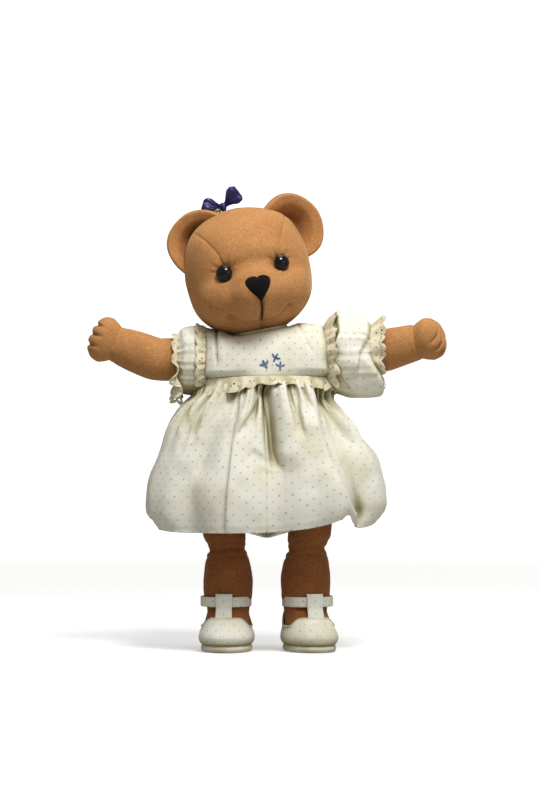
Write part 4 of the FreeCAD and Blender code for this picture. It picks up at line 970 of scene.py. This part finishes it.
def makeSleeve(side, sign):
    rows, cols = 110, 320
    shape = sleeveShape[side]
    far = np.linspace(0, shape["length"], rows)[:, None]
    turn = ringAngles(cols)
    points = sleeveSurface(side, sign, turn, far)
    wander = spots(*(lumps(points, 11, seed) for seed in (70, 71, 72)))
    points = points + 0.7 * wander * np.sin(math.pi * far / shape["length"])[..., None]
    uv = spots(np.linspace(0, 210, cols + 1)[None, :], far * 1.3)
    thing = gridPiece(f"{side}_puff_sleeve", points, around=True, uv=uv)
    thicken(thing, dress["wall"], -1)
    finishPiece(thing, "torso", "print_cotton", dressCotton, f"{side}_sleeve")


for side, sign in bothSides:
    makeSleeve(side, sign)


def laceStrip(name, place, scallops, tiles, holes, every=1, size=0.3,
              body="torso", stands=()):
    # eyelet trim: a strip of square tiles, some with a round stitched hole. Each tile is rings of points
    # that run from its border in to the hole. The outer edge is scalloped, and place() bends (share along
    # the strip, share down it) into space. holes lists (row, place in the scallop), repeated in every so
    # many scallops
    corner, layers = 4, 6
    ringSize = 4 * corner
    run = np.linspace(-1, 1, corner + 1)[:-1]
    one = np.ones(corner)
    border = np.concatenate([spots(run, -one), spots(one, run), spots(-run, one), spots(-one, -run)])
    circle = border / np.linalg.norm(border, axis=1, keepdims=True)
    columns = scallops * tiles
    points, faces, start = [], [], 0
    step = np.arange(ringSize)
    ahead = (step + 1) % ringSize
    for row in range(layers):
        for column in range(columns):
            holed = (row, column % tiles) in holes and (column // tiles) % every == 0
            middle = np.array([column + 0.5, row + 0.5])
            rings = (1.0, 0.45, 0.1, 0.0) if holed else (1.0, 0.45, 0.2, 0.1)
            hole = size if holed else 0
            points.extend(middle + 0.5 * border * share + hole * circle * (1 - share) for share in rings)
            for _ in rings[1:]:
                inner = start + ringSize
                faces.append(spots(start + step, start + ahead, inner + ahead, inner + step))
                start = inner
            start += ringSize
    grid = np.concatenate(points)
    along, down = grid[:, 0] / columns, grid[:, 1] / layers
    scallop = np.abs(np.sin(math.pi * along * scallops))
    down = down * (1 - 0.2 * (1 - scallop ** 0.7) * smooth(0.35, 1.0, down))
    thing = putMesh(name, place(along, down), [np.concatenate(faces)])
    join = thing.modifiers.new("join", "WELD")
    join.merge_threshold = 0.00006
    thicken(thing, 0.5)
    finishPiece(thing, body, "lace", laceCotton, *stands)


def waves(along, *parts):
    # waves along a strip: each part is (how many, how high, shift)
    return sum(high * np.sin(along * 2 * math.pi * count + shift) for count, high, shift in parts)


# places of the holes: three together in a scallop, and a row along the edge
cluster = {(3, 2), (2, 1), (2, 3)}
borderHoles = {(4, 0), (4, 1), (4, 2), (2, 1)}


def makeWaistLace():
    # the ruffle hangs from the waist seam all round the front; it droops furthest on the bear's right
    def place(along, down):
        turn = -1.5 + 3.02 * along
        wave = waves(along, (13, 1, 0.8), (21, 0.5, 2.0))
        across = 60 * np.sin(turn)
        long = through([-60, -40, -24, -4, 20, 44, 60], [15, 17, 14.5, 8.5, 9, 12, 12], across)
        out = 1.4 + 4.6 * down * smooth(-3, 8, long) + wave * 2.3 * down
        point = waistPoint(turn, out)
        point[..., 2] += 1.6 - long * down + 1.0 * wave * down
        return point
    laceStrip("waist_eyelet_ruffle", place, 20, 5, cluster, every=2, size=0.36,
              stands=("waist_lace",))


makeWaistLace()


def makeCuffLace(side, sign):
    # the frill at the sleeve's end: on the left arm it flares all round, on the right one it lies along the
    # arm above and hangs down in a bunch below
    shape = sleeveShape[side]
    end = shape["start"] + shape["length"]

    def place(along, down):
        turn = along * 2 * math.pi
        wave = waves(along, (11, 1, 0), (17, 0.4, 1))
        ripple = np.cos(along * 2 * math.pi * 11)
        if sign > 0:
            radius = 23.6 + 10.5 * down + 2.6 * wave * down
            far = end - 3 + 14.5 * down + 1.4 * ripple * down
        else:
            low = smooth(0.15, -0.65, np.sin(turn))
            radius = 22.9 + (1.5 + 16.5 * low) * down + (1.2 + 1.8 * low) * wave * down
            far = end - 2 + (6 - 3.0 * low) * down + (1 + 5.5 * low) * ripple * down
        return spots(sign * far, -radius * np.cos(turn), shape["high"] + radius * np.sin(turn))
    laceStrip(f"{side}_cuff_eyelet", place, 24, 3, borderHoles, size=0.3,
              stands=(f"{side}_cuff_lace",))


def makeArmholeLace(side, sign):
    # a gathered eyelet trim sewn into the armhole, from the shoulder down the front to the waist
    def place(along, down):
        turn = math.radians(84) - math.radians(136) * along
        wave = waves(along, (5, 1, 0.7), (9, 0.4, 0))
        far = 0.6 + 10.5 * down
        if sign > 0:
            lift = 0.9 + down * (4.2 + 3.0 * wave) * smooth(-0.02, 0.16, along)
            far = far + 1.4 * np.cos(along * 2 * math.pi * 5) * down
        else:
            lift = 1.1 + down * (0.6 + 0.5 * wave)
        point = sleeveSurface(side, sign, turn, far)
        out = spots(0 * turn, -np.cos(turn), np.sin(turn))
        return point + out * lift[..., None]
    laceStrip(f"{side}_armhole_eyelet", place, 7, 5, cluster, size=0.34)


for side, sign in bothSides:
    makeCuffLace(side, sign)
    makeArmholeLace(side, sign)
print("yoke, sleeves and lace made")

# wide and deep are the half sizes at each height; flat and length are the cloth's own measures; hemHigh is
# the hem's height round the turn; leftOut and rightOut move the sides out at each of the sides' heights
skirtShape = {
    "high": [113, 138, 205, 238, 248], "wide": [104, 110, 86, 61.7, 60.5], "deep": [70, 73, 58, 45.2, 44],
    "folds": 8, "depth": 4.5, "pinch": 0.25, "first": math.radians(4), "flat": 300, "length": 136,
    "hemTurn": [-180, -135, -100, -80, -60, -42, -20, 0, 18, 30, 38, 43, 50, 58, 66, 80, 100, 130, 180],
    "hemHigh": [124, 124, 122, 115, 112, 111, 111.5, 112, 115, 119, 124, 128, 120, 115, 117, 124, 127, 124,
                124],
    "sideHigh": [115, 127, 140, 160, 180, 207, 228, 240, 250],
    "rightOut": [-1, 2, 1, 2, 2.5, 8, 13, 5, 0], "leftOut": [-6, -3, 0, 1, 2, -6, -6, -2, 0],
    "frontFolds": [
        fold(1, 19, 16, 10, (7, 246), (10, 222), (13, 196), (16, 172), tuck=7, soft=0.9),
        fold(-1, 16, 20, 12, (38, 246), (43, 222), (48, 198), (56, 177), (66, 155), (77, 131), tuck=10,
             soft=0.9, fades=0),
        fold(-1, 10, 14, 12, (-36, 240), (-48.6, 212), (-59, 187), (-67.7, 165), soft=4),
        fold(1, 4.5, 10, 7, (-25, 240), (-31.8, 194), (-36.9, 143), (-37.6, 119), soft=0.9, fades=0),
        fold(1, 7, 8, 6, (25, 247), (29, 224), (34, 202), soft=0.9),
        fold(-1, 7, 9, 7, (-4, 247), (-12, 226), (-26, 204)),
        fold(1, 6, 7, 5, (-22, 244), (-25, 228), (-27, 214)),
        fold(1, 7, 8, 7, (-44, 240), (-55, 218), (-64, 196), soft=1.6),
        fold(1, 5, 8, 6, (-55, 238), (-66, 220), (-72, 204), soft=2),
        fold(1, 8, 12, 10, (57, 240), (68, 214), (84, 192), soft=2.5),
        fold(1, 4.5, 9, 9, (-13, 188), (0, 180), (14, 177), soft=3.5),
        fold(1, 3, 8, 7, (-4, 171), (6, 167), (15, 169), soft=3),
    ],
}


def skirtPoints(turn, share):
    # an oval that widens from the waist to the hem, drawn in and let out by eight soft folds; fine
    # gathers at the top run out below them, and the named folds lie over it on the front
    hem = through(np.radians(skirtShape["hemTurn"]), skirtShape["hemHigh"], turn)
    top = waistPoint(turn)[..., 2]
    high = top + (hem - top) * share
    keys = skirtShape["high"]
    level = np.clip(high + (keys[-1] - top) * (1 - share), keys[0], keys[-1])
    wide, deep = profile(skirtShape, "high", ("wide", "deep"), level)
    swing = skirtShape["folds"] * (turn - skirtShape["first"])
    main = skirtShape["pinch"] - np.cos(swing) - skirtShape["pinch"] * np.cos(2 * swing)
    main = skirtShape["depth"] * main * smooth(240, 204, level)
    x, y = (wide + main) * np.sin(turn), -(deep + main) * np.cos(turn)
    out = spots(np.sin(turn) / wide, -np.cos(turn) / deep, 0 * share * turn)
    out = out / np.linalg.norm(out, axis=-1, keepdims=True)
    swirl = 34 * turn + 1.3 * np.sin(3 * turn) + 0.8 * np.sin(7 * turn)
    gather = 3.1 * (0.3 - np.cos(swirl) - 0.35 * np.cos(2 * swirl))
    gather = gather + 0.7 * np.sin(53 * turn + 2 * np.sin(2 * turn))
    long = 0.3 + 0.12 * np.sin(5 * turn + 1) + 0.07 * np.sin(13 * turn)
    lift = gather * smooth(1.5, 0.1, share / long) * smooth(-0.02, 0.06, share)
    flank = np.abs(np.sin(turn)) ** 3
    level = np.clip(high, skirtShape["sideHigh"][0], skirtShape["sideHigh"][-1])
    left, right = profile(skirtShape, "sideHigh", ("leftOut", "rightOut"), level)
    lift = lift + np.where(turn > 0, left, right) * flank
    back = smooth(-0.1, 0.5, -np.cos(turn))
    lift = lift + 1.6 * np.sin(21 * turn + 1.9) * smooth(0.1, 0.5, share) * (0.3 + 0.7 * back)
    point = spots(x, y, high)
    front = smooth(0.08, 0.3, np.cos(turn))
    sideways = 0.0
    for crease in skirtShape["frontFolds"]:
        raised, pull = foldOver(x, high, crease)
        lift = lift + front * raised
        sideways = sideways + front * pull
    lift = lift + 1.4 * lumps(point, 30, 80) * smooth(0.05, 0.4, share) + 0.6 * lumps(point, 11, 81)
    lift = lift - 1.2 * smooth(0.95, 1.0, share)
    tangent = spots(-out[..., 1], out[..., 0], 0 * lift)
    return point + out * lift[..., None] + tangent * np.asarray(sideways)[..., None]


def makeSkirt(side, sign):
    rows, cols = 160, 340
    share = rowShares(rows)
    turn = np.linspace(0, math.pi, cols)[None, :] * sign
    points = skirtPoints(turn, share)
    uv = spots(np.linspace(0, skirtShape["flat"], cols)[None, :] * sign, share * skirtShape["length"])
    thing = gridPiece(f"{side}_skirt_cloth", points, uv=uv)
    thicken(thing, dress["wall"], -1)
    thing.data.materials.append(dressCotton)
    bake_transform(thing)
    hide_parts("dress_skirt")


for side, sign in bothSides:
    makeSkirt(side, sign)


bloomerShape = {
    "along": [0, 0.2, 0.42, 0.62, 0.8, 0.9, 0.95, 1], "high": [192, 172, 152, 138, 127, 122, 121, 123],
    "middle": [28, 33, 35.5, 37, 38, 39.5, 40.5, 41], "wide": [29.5, 34, 36.5, 37, 35, 31, 27.0, 23.6],
    "deep": [43, 45.5, 44.5, 41, 36, 31, 27, 23.5], "past": -5.0, "wall": 0.6,
}


def makeBloomers(side, sign):
    # each half is a puffed tube from the waist to the leg's elastic; the two run together between the legs,
    # where the crotch hangs lowest
    rows, cols = 90, 200
    share = rowShares(rows)
    turn = ringAngles(cols)
    high, middle, wide, deep = profile(bloomerShape, "along", ("high", "middle", "wide", "deep"), share)
    inner = smooth(0.2, -0.9, np.sin(turn)) * smooth(0.45, 0.8, share)
    puff = 1 + 0.02 * np.sin(16 * turn + 1) + 0.028 * np.sin(26 * turn) * smooth(0.7, 1, share)
    crotch = 12 * inner * smooth(0.7, 0.9, share) * smooth(1.0, 0.94, share)
    x = sign * np.maximum(middle + wide * puff * np.sin(turn) - crotch, bloomerShape["past"])
    y = -deep * puff * np.cos(turn)
    z = high - 19 * inner * smooth(1.25, 0.8, share) * smooth(0.55, 0.86, share)
    points = spots(x, y, z)
    uv = spots(np.linspace(0, 215, cols + 1)[None, :], share * 90)
    thing = gridPiece(f"{side}_bloomer_leg", points, around=True, uv=uv)
    thicken(thing, bloomerShape["wall"], -1)
    thing.data.materials.append(dressCotton)
    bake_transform(thing)
    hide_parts("bloomers")


for side, sign in bothSides:
    makeBloomers(side, sign)
print("skirt and bloomers made")


# Face, bow, buttons and stitches

feltBlack = plainCloth("blackFelt", "#080706", "#120f0c", thread=0.6, sheen=0.06, roughness=0.95)
threadBlack = plainCloth("blackThread", "#1b1512", "#2a211c", thread=0.3, roughness=0.8)
threadBlue = plainCloth("blueThread", "#45689a", "#6d90b8", thread=0.3, roughness=0.6)


def ribbonMaterial():
    # double-faced satin with smooth floats of yarn along the ribbon; its colour is streaked along the ribbon
    # between a shaded and a lit navy, a painted sheen
    made = startMaterial("navySatin")
    uv = addNode(made, "ShaderNodeUVMap", {"uv_map": "cloth"}).outputs[0]
    stretch = addNode(made, "ShaderNodeMapping", Vector=uv, Scale=(0.15, 3.2, 1.0)).outputs[0]
    yarn = noise(made, stretch, 1.6, Detail=2.0)
    # painted sheen: streaks of lit navy over shaded navy
    colour = mixed(made, ramp(made, yarn, 0.3, 0.7), linear("#0c0c42"), linear("#161668"))
    return finishMaterial(made, colour, yarn, 0.12, 0.5, Roughness=0.36, Specular_IOR_Level=0.6,
                          Sheen_Weight=0.2, Sheen_Tint=linear("#8a8ae0"))


def eyeMaterial():
    # moulded safety eye: polished black plastic, a little worn
    made, place = placedMaterial("polishedBlackPlastic")
    haze = noise(made, place, 420.0, Detail=3.0)
    rough = stretched(made, haze, 0.07, 0.16)
    colour = mixed(made, haze, linear("#040303"), linear("#0d0a08"))
    return finishMaterial(made, colour, Roughness=rough, IOR=1.42, Coat_Weight=0.15, Coat_Roughness=0.06)


def buttonMaterial():
    # pressed shell-white plastic with a soft cloudy lustre
    made, place = placedMaterial("shellWhitePlastic")
    cloud = noise(made, place, 300.0, Detail=3.0)
    colour = mixed(made, cloud, linear("#f0ebdf"), linear("#dcd3bf"))
    return finishMaterial(made, colour, cloud, 0.05, 0.3, Roughness=0.25, IOR=1.5)


def dressNode(name, material):
    nodes[name].data.materials.clear()
    nodes[name].data.materials.append(material)


for side, sign in bothSides:
    dressNode(f"{side}_eye", eyeMaterial())


def onFace(x, z, lift):
    # a point on the head's front, found along y from the front, then moved out by lift
    x, z = np.broadcast_arrays(np.asarray(x, float), np.asarray(z, float))
    start = spots(x, np.zeros_like(x), z)
    rays = np.zeros_like(start)
    rays[..., 1] = -1
    point = shootOut(start, rays, headField, 5, 110)
    point[..., 1] -= lift
    return point


noseShape = {"middle": -15.6, "tall": 28.5, "half": 12.2, "height": 2.8}
mouthShape = {"top": -29, "end": -47.6, "thread": 0.75, "sunk": 0.2}


def makeNose():
    # a heart of felt over a pad: the outline is two lobes that meet in a point, and rings step in from it to
    # the middle while the pad rises
    rows, cols = 34, 160
    turn = ringAngles(cols)
    share = rowShares(rows)
    heartX = np.sin(turn) * np.abs(np.sin(turn)) ** 1.5
    heartZ = (13 * np.cos(turn) - 4.6 * np.cos(2 * turn) - 1.6 * np.cos(3 * turn)
              - 0.8 * np.cos(4 * turn)) / 28
    x = noseShape["half"] * heartX * (1 - share)
    z = noseShape["middle"] + noseShape["tall"] * heartZ * (1 - share)
    rise = noseShape["height"] * np.sqrt(np.clip(1 - (1 - share) ** 3.2, 0, 1)) - 0.5 * (share == 0)
    points = onFace(x, z, rise)
    thing = gridPiece("felt_nose", fromHead(points), around=True, caps=(False, True))
    finishPiece(thing, "head", "nose_felt", feltBlack, "nose")
    line = onFace(0, np.linspace(mouthShape["top"], mouthShape["end"], 40), -mouthShape["sunk"])
    mouth = closedPiece("mouth_thread", fromHead(tubeAlong(line, mouthShape["thread"])))
    finishPiece(mouth, "head", "thread", threadBlack, "mouth_stitch")


makeNose()

# a loop is its ribbonLoop measures, then its place beside the knot
bowShape = {
    "knot": (-10.5, 5, 63.5), "flat": (46, 10), "rows": 90, "cols": 22,
    "loops": {"right": ((20, 5.2, 8.2, 36, 6), (0.5, -0.5, 0.5)),
              "left": ((19, 5.0, 6.0, 162, 12), (-0.5, -0.5, 0.3))},
}


def ribbonLoop(length, deep, wide, lift, tilt):
    # a ribbon's loop: out from the knot in front and back behind, pinched at the knot and full at its far
    # end. Its broad side faces the front; lift turns it up in the face's plane and tilt turns it on its
    # own length
    t = rowShares(bowShape["rows"])
    w = np.linspace(-1, 1, bowShape["cols"])[None, :]
    out = length * np.sin(math.pi * t) ** 0.75
    front = -deep * np.sin(2 * math.pi * t) * (0.75 + 0.25 * w)
    far = np.sin(math.pi * t)
    pinch = smooth(0, 0.6, far)
    half = wide * (0.24 + 0.76 * pinch - 0.3 * smooth(0.8, 1.0, far))
    pleat = (1 - pinch) * 1.4 * np.cos(3 * math.pi * w) + 0.6 * np.sin(5 * w + 9 * t) * pinch
    points = spots(out * (1 + 0.04 * w), front + pleat, w * half)
    return turned(turned(points, tilt, "x"), -lift, "y")


def makeBow():
    knot = np.array(bowShape["knot"], float)
    length, width = bowShape["flat"]
    for side, (measures, beside) in bowShape["loops"].items():
        uv = spots(np.linspace(0, length, bowShape["rows"])[:, None],
                   np.linspace(0, width, bowShape["cols"])[None, :])
        points = ribbonLoop(*measures) + beside
        thing = gridPiece(f"bow_loop_{side}", fromHead(points + knot), uv=uv)
        thicken(thing, 0.4)
        finishPiece(thing, "head", "ribbon", navySatin, "bow_loops")
    t = np.linspace(0.03, math.pi - 0.03, 24)[:, None]
    turn = ringAngles(40)
    r = 3.6 * np.sin(t) ** 0.7 * (1 + 0.06 * np.sin(6 * turn))
    ball = spots(r * np.cos(turn) * 0.85, r * np.sin(turn), 4.4 * np.cos(t))
    uv = spots(np.linspace(0, 20, 41)[None, :], np.linspace(0, 9, 24)[:, None])
    thing = closedPiece("bow_knot_ribbon", fromHead(ball + knot), uv)
    finishPiece(thing, "head", "ribbon", navySatin, "bow_knot")


navySatin = ribbonMaterial()
makeBow()


def makeBowLace():
    def place(along, down):
        x = -13 - 16 * along
        z = 63.5 - 4 * along ** 1.4 - 10 * down + 1.2 * np.sin(along * 14) * down
        y = 9 + 1.2 * np.sin(along * 11) - 2 * down
        return fromHead(spots(x, y, z))
    laceStrip("bow_lace_scrap", place, 3, 3, borderHoles, body="head",
              stands=("bow_lace",))


makeBowLace()


def yokeAt(x, z, behind=False):
    # the point of the yoke at a place seen from the front or from behind, found by walking along its columns
    phi = np.arcsin(np.clip(x / 60, -1, 1))
    over = (1.7 if behind else 0.3) + 0 * z
    for _ in range(12):
        point = yokePoint(phi, over)
        over = over + (z - point[..., 2]) / (-75 if behind else 75)
        phi = phi + (x - point[..., 0]) / 60
    return yokePoint(phi, over)


# the profile of a button, from the middle of its face over the rim to its back
buttonShape = {
    "count": 3, "lowest": 255, "pitch": 12, "along": [0, 0.12, 0.3, 0.45, 0.6, 0.75, 0.9, 1],
    "radius": [0.05, 1.2, 3.2, 3.7, 4.3, 4.9, 4.9, 4.2], "deep": [1.2, 1.2, 1.25, 1.8, 2.0, 1.5, 0.5, 0.1],
}


def makeButtons():
    # small dished buttons down the back of the yoke
    material = buttonMaterial()
    turn, t = ringAngles(48), rowShares(22)
    radius, deep = profile(buttonShape, "along", ("radius", "deep"), t)
    for number in range(buttonShape["count"]):
        high = buttonShape["lowest"] + buttonShape["pitch"] * number
        seat = yokeAt(np.array([0.0]), np.array([float(high)]), True)[0, 1]
        points = spots(radius * np.cos(turn), seat - 0.4 + deep + 0 * turn, high + radius * np.sin(turn))
        thing = closedPiece(f"back_button_{number + 1}", points)
        finishPiece(thing, "torso", "button", material, "back_buttons")


makeButtons()


# sprigs are (across, height, lean) on the yoke's front; leaves are (distance, angle) from a sprig's middle
sprigShape = {
    "sprigs": ((-1.5, 265.4, 20), (7.6, 271.6, -35), (12.2, 263.6, -10)),
    "leaves": ((2.9, 155), (3.1, 95), (2.9, 35), (1.6, -75)), "length": 4.4, "wide": 1.5, "rise": 0.5,
}


def makeEmbroidery():
    # small satin-stitched sprigs: each leaf is a padded oval of thread lying on the cloth
    parts = []
    t = np.linspace(0.02, math.pi - 0.02, 16)[:, None]
    turn = ringAngles(16)
    along = sprigShape["length"] / 2 * np.cos(t) + 0 * turn
    across = sprigShape["wide"] / 2 * np.sin(t) ** 0.8 * np.cos(turn)
    rise = sprigShape["rise"] * np.sin(t) * np.sin(turn)
    leaves = [(x, z, far, angle + lean) for x, z, lean in sprigShape["sprigs"]
              for far, angle in sprigShape["leaves"]]
    for number, (x, z, far, angle) in enumerate(leaves):
        c, s = math.cos(math.radians(angle)), math.sin(math.radians(angle))
        x, z = x + far * c, z + far * s
        points = yokeAt(x + along * c - across * s, z + along * s + across * c)
        points[..., 1] -= rise + 0.1
        leaf = closedPiece(f"sprig_leaf_{number + 1}", points)
        leaf.data.materials.append(threadBlue)
        parts.append(leaf)
    bpy.ops.object.select_all(action="DESELECT")
    for part in parts:
        part.select_set(True)
    bpy.context.view_layer.objects.active = parts[0]
    bpy.ops.object.join()
    sprig = bpy.context.view_layer.objects.active
    sprig.name = "chest_embroidery"
    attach(sprig, "torso")


makeEmbroidery()
print("face, bow, buttons and stitches made")


# Inner hardware, which keeps its CAD mesh

boardWood = plainCloth("hardboard", "#6b4a31", "#583b26", thread=1.2, sheen=0.0, roughness=0.8)


def steelMaterial():
    # bright drawn steel wire and pressed washers, lightly brushed
    made, place = placedMaterial("brushedSteel")
    grain = noise(made, place, 900.0, Detail=2.0)
    rough = stretched(made, grain, 0.25, 0.42)
    colour = mixed(made, grain, linear("#a9a9a7"), linear("#c6c5c2"))
    return finishMaterial(made, colour, Roughness=rough, Metallic=1.0)


steel = steelMaterial()
for name, thing in nodes.items():
    if not thing.hide_render and not name.endswith("_eye"):
        dressNode(name, steel if "washer" in name or name.endswith("pin") else boardWood)


# Studio

# sweep is the backdrop's profile, (back, height); a light is (name, place in metres, size, watts)
studio = {
    "distance": 3200, "across": 3, "height": 236, "lens": 155.6, "aim": (0, 0, 0.22), "wide": 7000,
    "sweep": [(-6000, -0.1), (3400, -0.1), (4200, 100), (4900, 400), (5200, 900), (5200, 6000)],
    "lights": (("key", (0.3, -1.0, 1.75), 0.6, 27), ("fill", (1.3, -1.3, 0.7), 1.2, 2.5),
               ("top", (0.1, 0.3, 1.9), 1.0, 8)),
}


def makeStudio():
    scene = bpy.context.scene
    lens = bpy.data.cameras.new("front_camera")
    lens.lens = studio["lens"]
    camera = bpy.data.objects.new("front_camera", lens)
    camera.location = (studio["across"] * 0.001, -studio["distance"] * 0.001, studio["height"] * 0.001)
    camera.rotation_euler = (math.radians(90), 0, 0)
    scene.collection.objects.link(camera)
    scene.camera = camera
    sweep = np.array(studio["sweep"], float)
    points = spots(np.array([[-studio["wide"], studio["wide"]]], float), sweep[:, :1], sweep[:, 1:])
    floor = gridPiece("studio_floor", points)
    made = startMaterial("paleFloor")
    seen = addNode(made, "ShaderNodeLightPath").outputs["Is Camera Ray"]
    colour = mixed(made, seen, linear("#a9a8a5"), linear("#f6f5f3"))
    place = objectPlace(made)
    far = addNode(made, "ShaderNodeVectorMath", {"operation": "LENGTH"}, in0=place).outputs["Value"]
    away = ramp(made, far, 0.7, 3.4)
    shine = sums(made, "MULTIPLY", seen, sums(made, "MULTIPLY_ADD", away, 0.6, 0.36))
    finishMaterial(made, colour, Roughness=0.9, Emission_Color=linear("#ffffff"), Emission_Strength=shine)
    floor.data.materials.append(made)
    world = bpy.data.worlds.new("studio")
    scene.world = world
    world.use_nodes = True
    world.node_tree.nodes["Background"].inputs[0].default_value = (1, 1, 1, 1)
    glow = addNode(world, "ShaderNodeLightPath").outputs["Is Camera Ray"]
    power = sums(world, "MULTIPLY_ADD", glow, 0.6, 0.3)
    world.node_tree.links.new(power, world.node_tree.nodes["Background"].inputs[1])
    for name, place, size, power in studio["lights"]:
        light = bpy.data.lights.new(name, "AREA")
        light.size = size
        light.energy = power
        lamp = bpy.data.objects.new(name, light)
        lamp.location = place
        direction = np.array(studio["aim"]) - np.array(place)
        lamp.rotation_euler = (math.atan2(math.hypot(direction[0], direction[1]), -direction[2]), 0,
                               math.atan2(direction[1], direction[0]) - math.pi / 2)
        scene.collection.objects.link(lamp)
    scene.view_settings.view_transform = "Standard"


makeStudio()
print("studio made")
